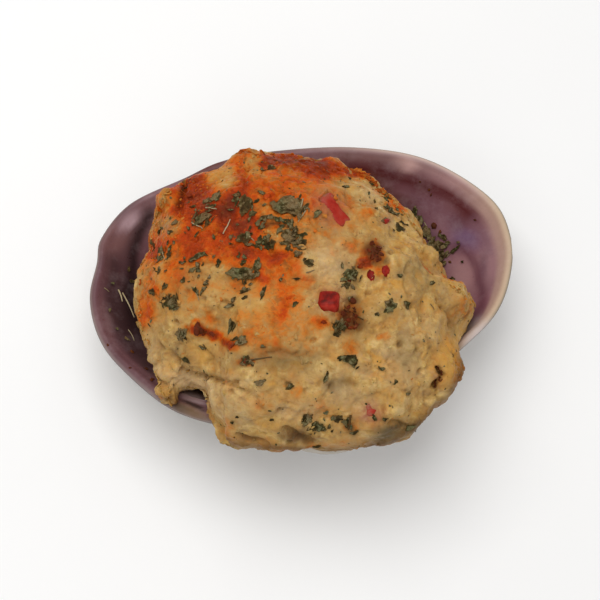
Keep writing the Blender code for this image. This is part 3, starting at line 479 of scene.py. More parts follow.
# Places where loose crumbs lie thick: pixel, how far they spread in pixels, how many and their browning.
CRUMB_HEAPS = (
    ((166, 228), (9, 8), 45, 0.42), ((273, 232), (7, 3), 30, 0.45), ((215, 226), (14, 8), 30, 0.62),
    ((188, 212), (10, 8), 20, 0.55), ((152, 252), (5, 14), 25, 0.60), ((166, 392), (5, 5), 12, 0.30),
    ((462, 312), (8, 8), 16, 0.32), ((250, 160), (10, 6), 20, 0.60), ((300, 168), (24, 6), 26, 0.75),
    ((205, 182), (10, 6), 18, 0.50), ((380, 204), (12, 8), 16, 0.35),
)
# Torn flakes of crust along the edges: points in pixels, how many, their length (mm) and browning.
FLAKE_LINES = (
    (((346, 166), (362, 174), (374, 184)), 26, 2.0, 0.62),
    (((376, 188), (388, 196), (399, 206)), 20, 1.7, 0.45),
    (((402, 210), (414, 226), (425, 246)), 12, 1.2, 0.25),
    (((150, 225), (146, 250), (140, 285)), 12, 1.3, 0.45),
    (((168, 190), (160, 208), (154, 222)), 12, 1.8, 0.42),
    (((240, 153), (262, 153), (300, 156)), 12, 1.3, 0.7),
    (((138, 300), (140, 325), (150, 350)), 10, 1.2, 0.25),
    (((156, 372), (162, 392), (172, 404)), 14, 1.5, 0.18),
    (((186, 372), (214, 378), (240, 388)), 8, 1.4, 0.15),
    (((448, 286), (464, 294), (475, 305)), 12, 1.6, 0.30),
    (((438, 367), (442, 374), (437, 380), (434, 388)), 14, 0.9, 1.0),
    (((178, 389), (188, 387), (198, 392)), 9, 1.1, 0.16),
    (((342, 308), (352, 312), (356, 326)), 10, 1.2, 1.0),
    (((370, 242), (380, 250), (374, 262)), 10, 1.2, 1.0),
)

# The stage.
FLOOR_HALF = 1.5
LIGHT_SIZE = 0.5
LIGHT_AIM = Vector((0.0, 0.0, 0.03))

SEED = 7
WHITE = (1.0, 1.0, 1.0)


class ShellSettings(bpy.types.PropertyGroup):
    """Colours of the valve."""

    inside: FloatVectorProperty(
        name="Inside", description="Ground colour of the smooth inside", subtype="COLOR", size=3,
        default=(0.245, 0.103, 0.122), min=0.0, max=1.0,
    )
    rim: FloatVectorProperty(
        name="Rim", description="Colour of the worn edge", subtype="COLOR", size=3,
        default=(0.56, 0.41, 0.28), min=0.0, max=1.0,
    )
    outside: FloatVectorProperty(
        name="Outside", description="Colour of the chalky outside", subtype="COLOR", size=3,
        default=(0.40, 0.345, 0.27), min=0.0, max=1.0,
    )
    ridge_height: FloatProperty(
        name="Ridge height", description="Height of the fine growth ridges outside", subtype="DISTANCE",
        unit="LENGTH", default=RIDGE_HEIGHT, min=0.0, max=1.0 * MM, precision=5,
    )


class StuffingSettings(bpy.types.PropertyGroup):
    """Fineness and colours of the heap."""

    grain: FloatProperty(
        name="Grain", description="Size of the heap's even faces", subtype="DISTANCE", unit="LENGTH",
        default=0.5 * MM, min=0.3 * MM, max=3.0 * MM, precision=5,
    )
    cream: FloatVectorProperty(
        name="Cream", description="Colour of stuffing that has not browned", subtype="COLOR", size=3,
        default=(0.50, 0.315, 0.118), min=0.0, max=1.0,
    )
    orange: FloatVectorProperty(
        name="Orange", description="Colour of the half browned crust", subtype="COLOR", size=3,
        default=(0.60, 0.118, 0.006), min=0.0, max=1.0,
    )
    brown: FloatVectorProperty(
        name="Brown", description="Colour of the darkest crust", subtype="COLOR", size=3,
        default=(0.20, 0.026, 0.006), min=0.0, max=1.0,
    )
    crumbs: IntProperty(
        name="Crumbs", description="How many loose crumbs lie on the crust", default=600, min=0, max=3000,
    )


class ToppingSettings(bpy.types.PropertyGroup):
    """Herbs and red pepper."""

    herb: FloatVectorProperty(
        name="Herb", description="Colour of a dark dried leaf", subtype="COLOR", size=3,
        default=(0.060, 0.041, 0.013), min=0.0, max=1.0,
    )
    herb_pale: FloatVectorProperty(
        name="Pale herb", description="Colour of a bleached dried leaf", subtype="COLOR", size=3,
        default=(0.210, 0.166, 0.090), min=0.0, max=1.0,
    )
    specks: IntProperty(
        name="Specks", description="How many fine herb specks are strewn on the heap", default=420, min=0,
        max=5000,
    )
    pepper: FloatVectorProperty(
        name="Pepper", description="Colour of the red pepper", subtype="COLOR", size=3,
        default=(0.21, 0.008, 0.004), min=0.0, max=1.0,
    )


class StageSettings(bpy.types.PropertyGroup):
    """Floor and light."""

    floor: FloatVectorProperty(
        name="Floor", description="Colour of the plain floor", subtype="COLOR", size=3,
        default=(0.97, 0.97, 0.97), min=0.0, max=1.0,
    )
    light: FloatProperty(
        name="Light", description="Strength of the surrounding light", default=0.50, min=0.0, max=5.0,
    )


# Curves and noise


def closed_curve(knots, count):
    """Evenly spaced points along the smooth closed curve through the knots."""
    knots = np.array(knots, float)
    before, after, beyond = (np.roll(knots, step, axis=0) for step in (1, -1, -2))
    t = np.linspace(0.0, 1.0, CURVE_STEPS, endpoint=False)[:, None, None]
    square = (2 * before - 5 * knots + 4 * after - beyond) * t**2
    cube = (3 * knots - before - 3 * after + beyond) * t**3
    fine = 0.5 * (2 * knots + (after - before) * t + square + cube)
    fine = fine.transpose(1, 0, 2).reshape(-1, knots.shape[1])
    looped = np.vstack([fine, fine[:1]])
    steps = np.linalg.norm(np.diff(looped, axis=0), axis=1)
    walked = np.concatenate([[0.0], np.cumsum(steps)])
    wanted = np.linspace(0.0, walked[-1], count, endpoint=False)
    return np.stack([np.interp(wanted, walked, column) for column in looped.T], axis=1)


def noise_at(points, across, shift=0.0):
    """Smooth noise from about -1 to 1, with features of this size."""
    places = points / across + shift
    return np.array([noise.noise(Vector(place)) for place in places.tolist()])


def cells_at(points, across, shift=0.0):
    """Distance from the nearest of scattered centres, as a share of their spacing."""
    places = points / across + shift
    return np.array([noise.voronoi(Vector(place))[0][0] for place in places.tolist()])


def creases_at(points, across, shift=0.0):
    """1 along the borders between scattered cells, softly 0 inside them."""
    places = points / across + shift
    gaps = []
    for place in places.tolist():
        distances = noise.voronoi(Vector(place))[0]
        gaps.append(distances[1] - distances[0])
    return 1.0 - smooth_step(np.array(gaps), 0.02, 0.26)


def warped(points, shift):
    """The points shifted about by noise, so that what is drawn from them is uneven."""
    across, far = WARP
    moves = [noise_at(points, across, shift + 7.0 * axis) for axis in range(3)]
    return points + np.column_stack(moves) * far


def moved_to(points, matrix):
    """An array of points carried by a 4x4 matrix."""
    matrix = np.array(matrix)
    return points @ matrix[:3, :3].T + matrix[:3, 3]


def smooth_step(value, low, high):
    """From 0 at low to 1 at high, with soft ends."""
    share = np.clip((value - low) / (high - low), 0.0, 1.0)
    return share * share * (3.0 - 2.0 * share)


def fading(value, low, high):
    """From 1 at low to 0 at high, with soft ends."""
    return smooth_step(-value, -high, -low)


# The line of sight


def resting_frame():
    """From the valve's own frame to the frame of the resting part."""
    tip = Matrix.Rotation(-TIP_ASIDE, 4, "Y") @ Matrix.Rotation(-TIP_BACK, 4, "X")
    return Matrix.Translation((-SOLE_X, -SOLE_Y, SOLE_DEPTH)) @ tip


def sight():
    """The eye, and the ways right, up and back from it, in the resting frame."""
    rest = resting_frame()
    turn = rest.to_3x3()
    back = Vector((0.0, -math.cos(SIGHT_RISE), math.sin(SIGHT_RISE)))
    right = Vector((1.0, 0.0, 0.0))
    eye = rest @ (SIGHT_AIM + back * SIGHT_DISTANCE)
    return eye, turn @ right, turn @ back.cross(right), turn @ back


def picture_places(points):
    """Across and down in pixels at which resting points show."""
    eye, right, up, back = (np.array(way) for way in sight())
    away = points - eye
    depth = -away @ back
    across = SIGHT_MIDDLE + away @ right / depth / SIGHT_PIXEL
    down = SIGHT_MIDDLE - away @ up / depth / SIGHT_PIXEL
    return across, down


def ragged_places(points, shift, size, far):
    """Those places shaken by noise, so that what is drawn by them has ragged edges."""
    across, down = picture_places(points)
    return across + noise_at(points, size, shift) * far, down + noise_at(points, size, shift + 10.0) * far


def met(tree, across, down):
    """Where the line of sight through this pixel meets a surface and the way it faces, or (None, None)."""
    eye, right, up, back = sight()
    ray = right * ((across - SIGHT_MIDDLE) * SIGHT_PIXEL) + up * ((SIGHT_MIDDLE - down) * SIGHT_PIXEL) - back
    return tree.ray_cast(eye, ray.normalized())[:2]


def sighted(tree, across, down):
    """Where a line of sight that must meet the surface does, and the way the surface faces there."""
    place, normal = met(tree, across, down)
    if place is None:
        raise ValueError(f"nothing lies in sight at {across}, {down}")
    return place, normal


def laid(tree, across, down, turn):
    """The matrix of a frame lying on the surface in sight at this pixel, its X axis turned in the picture."""
    place, normal = sighted(tree, across, down)
    right, up = sight()[1:3]
    turn = math.radians(turn)
    along = right * math.cos(turn) + up * math.sin(turn)
    along = (along - normal * along.dot(normal)).normalized()
    axes = Matrix((along, normal.cross(along), normal)).transposed().to_4x4()
    return Matrix.Translation(place) @ axes


def oval(across, down, patch):
    """Weight of an oval patch at each place in the picture: 1 inside, softly 0 outside."""
    x, y, half_width, half_height, turn = patch[:5]
    turn = math.radians(turn)
    right, below = across - x, down - y
    along = (right * math.cos(turn) + below * math.sin(turn)) / half_width
    aside = (below * math.cos(turn) - right * math.sin(turn)) / half_height
    return np.exp(-((along**2 + aside**2) ** 1.5))


def off_line(across, down, line):
    """Distance in pixels from a broken line in the picture."""
    nearest = np.full(len(across), np.inf)
    for (x0, y0), (x1, y1) in zip(line[:-1], line[1:]):
        run_x, run_y = x1 - x0, y1 - y0
        share = ((across - x0) * run_x + (down - y0) * run_y) / (run_x**2 + run_y**2)
        share = np.clip(share, 0.0, 1.0)
        off = np.hypot(across - x0 - share * run_x, down - y0 - share * run_y)
        nearest = np.minimum(nearest, off)
    return nearest


def beside(across, down, line, half_width):
    """Weight of a soft line at each place in the picture: 1 on it, 0 well away from it."""
    return np.exp(-((off_line(across, down, line) / half_width) ** 2))


# Meshes


def in_box(points):
    """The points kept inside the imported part's box."""
    return np.clip(points, CAD_BOX[0], CAD_BOX[1])


def new_object(name, points, faces):
    """A mesh of these points and faces, in the scene, with its faces turned outwards."""
    mesh = bpy.data.meshes.new(name)
    mesh.from_pydata(points.tolist(), [], faces.tolist() if isinstance(faces, np.ndarray) else faces)
    bm = bmesh.new()
    bm.from_mesh(mesh)
    bmesh.ops.recalc_face_normals(bm, faces=bm.faces)
    bm.to_mesh(mesh)
    bm.free()
    mesh.shade_smooth()
    obj = bpy.data.objects.new(name, mesh)
    bpy.context.scene.collection.objects.link(obj)
    return obj


def applied(obj):
    """The object's mesh is replaced by what its modifiers make of it."""
    graph = bpy.context.evaluated_depsgraph_get()
    mesh = bpy.data.meshes.new_from_object(obj.evaluated_get(graph))
    obj.modifiers.clear()
    old = obj.data
    obj.data = mesh
    bpy.data.meshes.remove(old)


def read_from(items, name, width=3):
    """What a mesh's items hold under a name, as an array."""
    flat = np.empty(len(items) * width, np.float32)
    items.foreach_get(name, flat)
    return (flat if width == 1 else flat.reshape(-1, width)).astype(float)


def points_of(mesh):
    """All points of a mesh."""
    return read_from(mesh.vertices, "co")


def normals_of(mesh):
    """The normals at all points of a mesh."""
    return read_from(mesh.vertex_normals, "vector")


def set_points(mesh, points):
    """Moves all points of a mesh."""
    mesh.vertices.foreach_set("co", points.astype(np.float32).ravel())
    mesh.update()


def set_value(mesh, name, values):
    """Gives every point of the mesh a named number."""
    attribute = mesh.attributes.new(name, "FLOAT", "POINT")
    attribute.data.foreach_set("value", np.asarray(values, np.float32))


def set_colour(mesh, name, colours):
    """Gives every point of the mesh a named colour."""
    attribute = mesh.attributes.new(name, "FLOAT_COLOR", "POINT")
    full = np.column_stack([colours, np.ones(len(colours))]).astype(np.float32)
    attribute.data.foreach_set("color", full.ravel())


def value_of(mesh, name):
    """The named numbers of a mesh's points."""
    return read_from(mesh.attributes[name].data, "value", 1)


def taken_from(bm):
    """Points and faces of a finished bmesh, which is then freed."""
    points = np.array([vert.co for vert in bm.verts])
    faces = [[vert.index for vert in face.verts] for face in bm.faces]
    bm.free()
    return points, faces


def in_fixed_order(faces):
    """The faces sorted, each from its lowest corner on: a bevel's come in another order each time."""
    turned = []
    for face in faces:
        first = face.index(min(face))
        turned.append(face[first:] + face[:first])
    return sorted(turned)


def ball_of(detail):
    """Points and faces of a round ball of this fineness."""
    bm = bmesh.new()
    bmesh.ops.create_icosphere(bm, subdivisions=detail, radius=1.0)
    return taken_from(bm)


def tree_of(name):
    """A search tree of a piece's surface."""
    bm = bmesh.new()
    bm.from_mesh(bpy.data.objects[name].data)
    tree = BVHTree.FromBMesh(bm)
    bm.free()
    return tree


def finished(obj, slot, material, *nodes):
    """Gives the piece its material and body, and hides the solids that it stands for."""
    obj.data.materials.clear()
    obj.data.materials.append(material)
    if nodes:
        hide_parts(*nodes)
    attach(obj, "root")
    return obj


# The valve


def plate_share(margin):
    """How much of the hinge plate's width each point of the margin carries, from 0 to 1."""
    step = np.linalg.norm(margin[1] - margin[0])
    index = np.arange(len(margin))
    distance = np.where(index > len(margin) / 2, index - len(margin), index) * step
    reach = np.where(distance > 0, *PLATE_REACH)
    return np.exp(-((distance / reach) ** 2))


def drawn_in(margin, inset):
    """The margin pulled towards the valve's middle, by a distance for each point."""
    spokes = margin - np.array(VALVE_MIDDLE)
    length = np.linalg.norm(spokes, axis=1)
    return np.array(VALVE_MIDDLE) + spokes * (1.0 - inset / length)[:, None]


def grown(outline, size, deepen):
    """An outline in the margin's plane as it was at this share of full size, rolled about the hinge."""
    roll = -math.log(size) / GROWTH
    hinge = Vector((*HINGE_POINT, 0.0))
    yaw = Matrix.Rotation(HINGE_YAW, 4, "Z")
    turned = Matrix.Diagonal((1.0, 1.0, deepen, 1.0)) @ Matrix.Rotation(-roll, 4, "X")
    whole = Matrix.Translation(hinge) @ yaw @ turned @ Matrix.Scale(size, 4)
    whole = whole @ yaw.inverted() @ Matrix.Translation(-hinge)
    return moved_to(np.column_stack([outline, np.zeros(len(outline))]), whole)


def outer_rings(margin, ridge_height):
    """Growth lines from the beak to the margin, with steps at the rests in growth and fine ridges."""
    rings, sizes = [], np.linspace(BEAK_SIZE, 1.0, OUTER_RINGS)
    around = np.arange(len(margin)) / len(margin) * 2 * math.pi
    circle = np.column_stack([np.cos(around), np.sin(around), np.zeros(len(margin))])
    for size in sizes:
        ring = grown(margin, size, DEEPEN)
        spokes = ring - np.array((*HINGE_POINT, 0.0))
        spokes /= np.linalg.norm(spokes, axis=1)[:, None]
        grown_share = (size - BEAK_SIZE) / (1.0 - BEAK_SIZE)
        rest_share = grown_share * GROWTH_RESTS % 1.0 if size < 1.0 else 0.0
        lift = np.interp(rest_share, *REST_PROFILE) * REST_STEP * min(1.0, (1.0 - size) * 20.0)
        wander = noise_at(circle * 1.5 + (0.0, 0.0, size * 3.0), 1.0) * 0.35
        ridge = np.sin((grown_share * RIDGES + wander) * 2 * math.pi)
        fade = min(1.0, (1.0 - size) * 40.0) * min(1.0, grown_share * 6.0)
        rough = noise_at(circle * 7.0 + (0.0, 0.0, size * 60.0), 1.0, 5.0)
        lift = lift + ridge_height * fade * (np.abs(ridge) ** 0.7 * np.sign(ridge) * 0.7 + rough * 0.5)
        rings.append(ring + spokes * lift[:, None])
    return rings, sizes


def lip_rings(margin):
    """The rounded lip, widening into the hinge plate with its groove."""
    plate = plate_share(margin)
    width = LIP_WIDTH + PLATE_WIDTH * plate
    shares, heights, grooves = np.array(LIP_PROFILE).T
    rings = []
    for share in np.linspace(0.0, 1.0, LIP_STEPS + 1)[1:]:
        ring = drawn_in(margin, width * share)
        height = np.interp(share, shares, heights) - np.interp(share, shares, grooves) * plate
        rings.append(np.column_stack([ring, height]))
    return rings


def inner_rings(margin):
    """The inside of the cup, from just under the lip to the steep wall below the hinge plate."""
    plate = plate_share(margin)
    drop = LIP_PROFILE[-1][1]
    rings, sizes = [], np.linspace(1.0, INNER_END, INNER_RINGS + 1)[1:]
    for size in sizes:
        ring = grown(drawn_in(margin, LIP_WIDTH / size + PLATE_WIDTH * plate), size, INNER_DEEPEN)
        rings.append(ring + np.array((0.0, 0.0, drop * size)))
    return rings, sizes


def on_points(rings, count, beak, middle):
    """A value for each point, from one for each ring of points and for the two that close the valve."""
    return np.concatenate([np.repeat(np.concatenate(rings), count), [beak, middle]])


def valve(ridge_height):
    """Points and faces of the resting valve, with each point's size, side and place across the lip."""
    margin = closed_curve(MARGIN_KNOTS, MARGIN_POINTS) * MM
    outer, outer_sizes = outer_rings(margin, ridge_height)
    lip = lip_rings(margin)
    inner, inner_sizes = inner_rings(margin)
    rings = outer + lip + inner
    count = len(margin)
    points = np.vstack(rings + [rings[0].mean(axis=0), rings[-1].mean(axis=0)])
    here = np.arange(count)
    behind = np.roll(here, 1)
    faces = []
    for low in range(len(rings) - 1):
        base = low * count
        quads = np.column_stack([behind + base, here + base, here + base + count, behind + base + count])
        faces.extend(quads.tolist())
    last = (len(rings) - 1) * count
    for first, middle in ((0, len(points) - 2), (last, len(points) - 1)):
        faces.extend(np.column_stack([behind + first, here + first, np.full(count, middle)]).tolist())
    before, after = np.zeros(OUTER_RINGS), np.ones(INNER_RINGS)
    over_lip = np.linspace(0.0, 1.0, LIP_STEPS + 1)[1:]
    size = on_points((outer_sizes, np.ones(LIP_STEPS), inner_sizes), count, BEAK_SIZE, INNER_END)
    inside = on_points((before, smooth_step(over_lip, 0.05, 0.3), after), count, 0.0, 1.0)
    lip_share = on_points((before, over_lip, after), count, 0.0, 1.0)
    settled = moved_to(points, resting_frame())
    settled[:, 2] = np.maximum(settled[:, 2], 0.0)
    return settled, faces, size, inside, lip_share


def layered(colours, layers):
    """The colours with others laid over them, each by its weight."""
    for layer, weight in layers:
        colours = colours + (np.array(layer) - colours) * np.clip(weight, 0.0, 1.0)[:, None]
    return colours


def spots_of(table, across, down, fade=1.0):
    """The colours and weights of a table's spots."""
    return [(spot[5], oval(across, down, spot) * spot[6] * fade) for spot in table]


def inside_colours(points, size, settings):
    """The clouds, spots and bands of the smooth inside, with painted shade deep in the cup and by the heap,
    and painted highlights.
    """
    across, down = picture_places(points)
    across = across + noise_at(points, 7.0 * MM, 3.0) * 3.0
    down = down + noise_at(points, 6.0 * MM, 11.0) * 3.0
    cloud = noise_at(points, 16.0 * MM, 2.0)
    # Painted shade: darker deep in the cup, by the heap.
    deep = fading(size, 0.72, 0.93) * (1.0 - smooth_step(across, *DEEP_SHADE_PART))
    layers = [
        ((0.17, 0.070, 0.085), 0.55 * smooth_step(cloud, -0.1, 0.5)),
        ((0.40, 0.235, 0.24), 0.45 * fading(cloud, -0.5, -0.05)),
        ((0.085, 0.040, 0.045), 0.85 * fading(across, *LONG_END)),
        ((0.19, 0.105, 0.115), 0.6 * fading(down, *FAR_WALL)),
        ((0.055, 0.020, 0.024), 0.75 * deep),
    ]
    layers += spots_of(SHELL_SPOTS, across, down)
    for line, half_width, colour, strength in SHELL_BANDS:
        layers.append((colour, beside(across, down, line, half_width) * strength))
    colours = layered(np.tile(settings.inside, (len(points), 1)), layers)
    way = np.arctan2(points[:, 1], points[:, 0])
    rays = noise_at(np.column_stack([way * 9.0, size * 0.6, size * 0.0]), 1.0)
    return colours * (1.0 + 0.12 * rays)[:, None]


def rim_colours(colours, points, size, lip, settings):
    """Lays the worn rim over the colours: tan and grey-green by the short end, mauve by the long one."""
    across, down = picture_places(points)
    short_end = smooth_step(across, *RIM_SHORT_END)
    far = fading(down, *RIM_FAR_SIDE)
    tone = layered(np.tile(settings.rim, (len(points), 1)), (
        ((0.60, 0.43, 0.39), 0.8 * far),
        ((0.40, 0.235, 0.205), 0.75 * smooth_step(lip, 0.3, 1.0)),
        ((0.175, 0.080, 0.086), 1.0 - short_end),
    ))
    wide = 0.022 + 0.026 * smooth_step(across, *RIM_WIDENS)
    edge = smooth_step((size - 1.0) / wide, -1.0, -0.05) * (0.35 + 0.65 * short_end)
    thin = smooth_step(size, 0.985, 1.0) * (1.0 - smooth_step(lip, 0.05, 0.3))
    layers = [
        (tone, edge * (1.0 - 0.7 * far * smooth_step(lip, 0.25, 0.6))),
        ((0.30, 0.27, 0.19), 0.6 * thin * short_end),
    ]
    return layered(colours, layers + spots_of(RIM_SPOTS, across, down, smooth_step(size, 0.5, 0.8)))


def outside_colours(points, size, settings):
    """Chalky outside: grey-beige with darker growth bands, stained towards the margin, white at the beak."""
    bands = noise_at(np.column_stack([size * 30.0, points[:, 0] * 12.0, points[:, 1] * 12.0]), 1.0)
    stain = noise_at(points, 18.0 * MM, 9.0)
    return layered(np.tile(settings.outside, (len(points), 1)), (
        ((0.20, 0.155, 0.115), 0.65 * smooth_step(bands, -0.1, 0.5)),
        ((0.55, 0.51, 0.44), 0.5 * fading(bands, -0.5, -0.1)),
        ((0.60, 0.56, 0.49), 0.7 * fading(size, 0.12, 0.35)),
        ((0.17, 0.14, 0.13), 0.45 * smooth_step(stain, 0.0, 0.5)),
        ((0.22, 0.16, 0.19), 0.5 * smooth_step(size, 0.9, 1.0)),
    ))


def make_shell(settings):
    """The valve, with its colours on its points."""
    points, faces, size, inside, lip = valve(settings.ridge_height)
    obj = new_object("clam_shell", in_box(points), faces)
    inner = inside_colours(points, size, settings)
    outer = outside_colours(points, size, settings)
    colours = layered(outer, [(inner, inside)])
    on_lip = np.where(inside > 0.0, size, 0.0)
    set_colour(obj.data, "tint", rim_colours(colours, points, on_lip, lip, settings))
    set_value(obj.data, "inside", inside)
    set_value(obj.data, "growth", size)
    return finished(obj, "shell", shell_material(), "shell")


# The heap


def round_about(curve, middle):
    """Angle and reach of a curve's points seen from the middle, sorted by angle, and those points."""
    spokes = curve[:, :2] - np.array(middle[:2])
    angle = np.arctan2(spokes[:, 1], spokes[:, 0])
    order = np.argsort(angle)
    return angle[order], np.linalg.norm(spokes, axis=1)[order], curve[order]


def floor_heights(points, margin, valve_tree):
    """How low the stuffing may lie at each point: in the cup, or hanging past the lip."""
    angles, reaches, _ = round_about(margin, VALVE_MIDDLE)
    out = points[:, :2] - np.array(VALVE_MIDDLE)
    way = np.arctan2(out[:, 1], out[:, 0])
    reach = np.interp(way, angles, reaches, period=2 * math.pi)
    past = np.linalg.norm(out, axis=1) - reach + LIP_SAFETY
    hang = np.clip(past / DROOP_RUN, 0.0, 1.0) ** 2
    floor = LIP_CLEARANCE - (LIP_CLEARANCE + DROOP) * hang
    down = Vector((0.0, 0.0, -1.0))
    for n in np.flatnonzero(past <= 0.0):
        hit = valve_tree.ray_cast(Vector((points[n, 0], points[n, 1], UNDER_DEPTH)), down)[0]
        if hit:
            floor[n] = hit.z + CUP_CLEARANCE
    return floor


def mound_places(ball):
    """The points of a ball drawn out to the heap's smooth form."""
    curve = closed_curve(MOUND_KNOTS, CURVE_STEPS * len(MOUND_KNOTS)) * MM
    angles, reaches, outline = round_about(curve, MOUND_PEAK)
    way = np.arctan2(ball[:, 1], ball[:, 0])
    share = 0.5 + np.arcsin(np.clip(ball[:, 2], -1.0, 1.0)) / math.pi
    reach = np.interp(way, angles, reaches, period=2 * math.pi)
    edge = np.interp(way, angles, outline[:, 2], period=2 * math.pi)
    above = share >= UNDERSIDE_SHARE
    lean = np.where(above, (share - UNDERSIDE_SHARE) / (1.0 - UNDERSIDE_SHARE), 1.0 - share / UNDERSIDE_SHARE)
    lean = np.clip(lean, 0.0, 1.0) * math.pi / 2
    across, up = (np.where(above, *fullness) for fullness in zip(TOP_FULLNESS, UNDER_FULLNESS))
    rise = np.where(above, MOUND_PEAK[2] - edge, -UNDER_DEPTH)
    out = np.maximum(0.0, np.cos(lean)) ** (2 / across) * reach
    high = edge + rise * np.sin(lean) ** (2 / up)
    return np.column_stack([MOUND_PEAK[0] + out * np.cos(way), MOUND_PEAK[1] + out * np.sin(way), high])


def crag_heights(points, layers):
    """How far the lumps of the baked crust stand out at each point."""
    height = np.zeros(len(points))
    for across, high in layers:
        lump = cells_at(points, across, np.array(CRAG_SHIFT))
        swell = noise_at(points * 0.7, across, np.array(CRAG_SHIFT) * 0.7)
        height += high * (0.55 - lump + 0.5 * swell)
    return height


def over_spot(points, x, y, reach):
    """1 over the middle of a spot given in millimetres, softly 0 beyond its reach."""
    off = np.hypot(points[:, 0] - x * MM, points[:, 1] - y * MM) / (reach * MM)
    return np.exp(-(off**2))


def swelling_heights(points, swellings):
    """How far the named swellings and hollows lift each point."""
    height = np.zeros(len(points))
    for x, y, reach, high in swellings:
        height += high * MM * over_spot(points, x, y, reach)
    return height


def pulled(points):
    """The heap's points with parts of its edge pulled aside."""
    for x, y, reach, way in PULLS:
        points = points + over_spot(points, x, y, reach)[:, None] * np.array(way) * MM
    return points


def turned_to_rest(normals):
    """Ways in the valve's own frame, as they are when the part rests."""
    return normals @ np.array(resting_frame())[:3, :3].T


def fine_heights(points, normals, toast):
    """Lumps, cracks, creases, grit and pits, finer than the solid's crags; and the painted shade that darkens
    each point in them.
    """
    settled = moved_to(points, resting_frame())
    seen = facing_eye(settled, turned_to_rest(normals))
    across, down = ragged_places(settled, 21.0, 2.6 * MM, 2.2)
    named = np.zeros(len(points))
    for lump in LUMPS:
        named += oval(across, down, lump) * lump[5] * MM
    cracks = np.zeros(len(points))
    for line, half_width, depth in CRACKS:
        near = beside(across, down, line, half_width)
        named -= near * depth * MM
        cracks = np.maximum(cracks, near * min(1.0, depth))
    loose = warped(points, 13.0)
    chunky = 0.5 + 0.8 * smooth_step(noise_at(points, 9.0 * MM, 19.0), -0.4, 0.4)
    lying = smooth_step(normals[:, 2], -0.1, 0.45)
    height = named * seen + crag_heights(loose, FINE_GRAIN) * chunky * (0.65 + 0.35 * lying)
    patchy = smooth_step(noise_at(points, 6.0 * MM, 23.0), -0.25, 0.35) * (0.3 + 0.7 * lying)
    # How much painted shade darkens each crack, crease and pit.
    hollow = cracks * seen
    for size, deep in CREASES:
        crease = creases_at(loose, size, 27.0) * patchy
        height -= deep * crease
        hollow = np.maximum(hollow, crease * min(1.0, deep / (0.45 * MM)))
    crusty = 0.55 + 1.1 * smooth_step(toast, 0.3, 0.7)
    for size, high in GRIT:
        height += high * noise_at(points, size, 17.0) * crusty
    for size, high in FIBRES:
        ridge = 1.0 - np.minimum(1.0, np.abs(noise_at(loose, size, 33.0)) * 4.0)
        height += high * (ridge**2 - 0.3) * (0.4 + 0.6 * patchy)
    pits = 1.0 - smooth_step(cells_at(points, PIT_SPACING, 41.0), PIT_SIZE * 0.5, PIT_SIZE)
    return height - PIT_DEPTH * pits, np.maximum(hollow, pits)


def toasted(across, down):
    """Browning at places in the picture, with each patch laid over those before it."""
    toast = np.full(len(across), BASE_TOAST)
    for patch in TOAST_PATCHES:
        toast += (patch[5] - toast) * oval(across, down, patch)
    return toast


def facing_eye(settled, normals, low=0.0, high=0.3):
    """1 where the surface faces the line of sight, 0 where it is turned away."""
    to_eye = np.array(sight()[0]) - settled
    to_eye /= np.linalg.norm(to_eye, axis=1)[:, None]
    return smooth_step(np.sum(normals * to_eye, axis=1), low, high)


def browning(settled, normals):
    """How far each resting point of the crust has browned, with ragged edges."""
    across, down = picture_places(settled)
    across = across + noise_at(settled, 4.5 * MM, 1.0) * 4.0 + noise_at(settled, 1.5 * MM, 1.0) * 3.0
    down = down + noise_at(settled, 4.5 * MM, 51.0) * 4.0 + noise_at(settled, 1.5 * MM, 51.0) * 3.0
    toast = toasted(across, down)
    toast = toast * 1.07 + 0.10 * noise_at(settled, 9.0 * MM, 61.0) + 0.10 * noise_at(settled, 3.0 * MM, 71.0)
    high_up = smooth_step(settled[:, 2], 28.0 * MM, 42.0 * MM)
    unseen = 0.22 + 0.35 * noise_at(settled, 12.0 * MM, 5.0) + 0.25 * high_up
    toast = unseen + (toast - unseen) * facing_eye(settled, normals)
    not_low = smooth_step(settled[:, 2], 14.0 * MM, 26.0 * MM)
    return np.clip(toast * (0.4 + 0.6 * not_low), 0.0, 1.0)


def overlaid(settled, patches, shift, far=3.5):
    """Strength of the patches of one kind, with ragged edges."""
    across, down = ragged_places(settled, shift, 2.4 * MM, far)
    value = np.zeros(len(across))
    for patch in patches:
        value = np.maximum(value, oval(across, down, patch) * patch[5])
    return value


def block_frame(name):
    """The place, axes and sides of a CAD block, read from its largest faces."""
    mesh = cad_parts[name].data
    areas = {}
    for face in mesh.polygons:
        key = tuple(round(channel, 2) for channel in face.normal)
        areas[key] = areas.get(key, 0.0) + face.area
    ways = [Vector(key).normalized() for key in sorted(areas, key=areas.get, reverse=True)]
    axes = []
    for way in ways:
        if len(axes) < 3 and all(abs(way.dot(axis)) < 0.2 for axis in axes):
            axes.append(way)
    back = sight()[3]
    top = max(axes, key=lambda axis: abs(axis.dot(back)))
    top = top if top.dot(back) > 0.0 else -top
    along = max((axis for axis in axes if abs(axis.dot(top)) < 0.2), key=lambda axis: spread(mesh, axis))
    aside = top.cross(along)
    middle = sum(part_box(name), Vector()) / 2
    turn = Matrix((along, aside, top)).transposed().to_4x4()
    return Matrix.Translation(middle) @ turn, [spread(mesh, axis) for axis in (along, aside, top)]


def spread(mesh, axis):
    """How far a mesh reaches along an axis."""
    reach = points_of(mesh) @ np.array(axis)
    return float(reach.max() - reach.min())


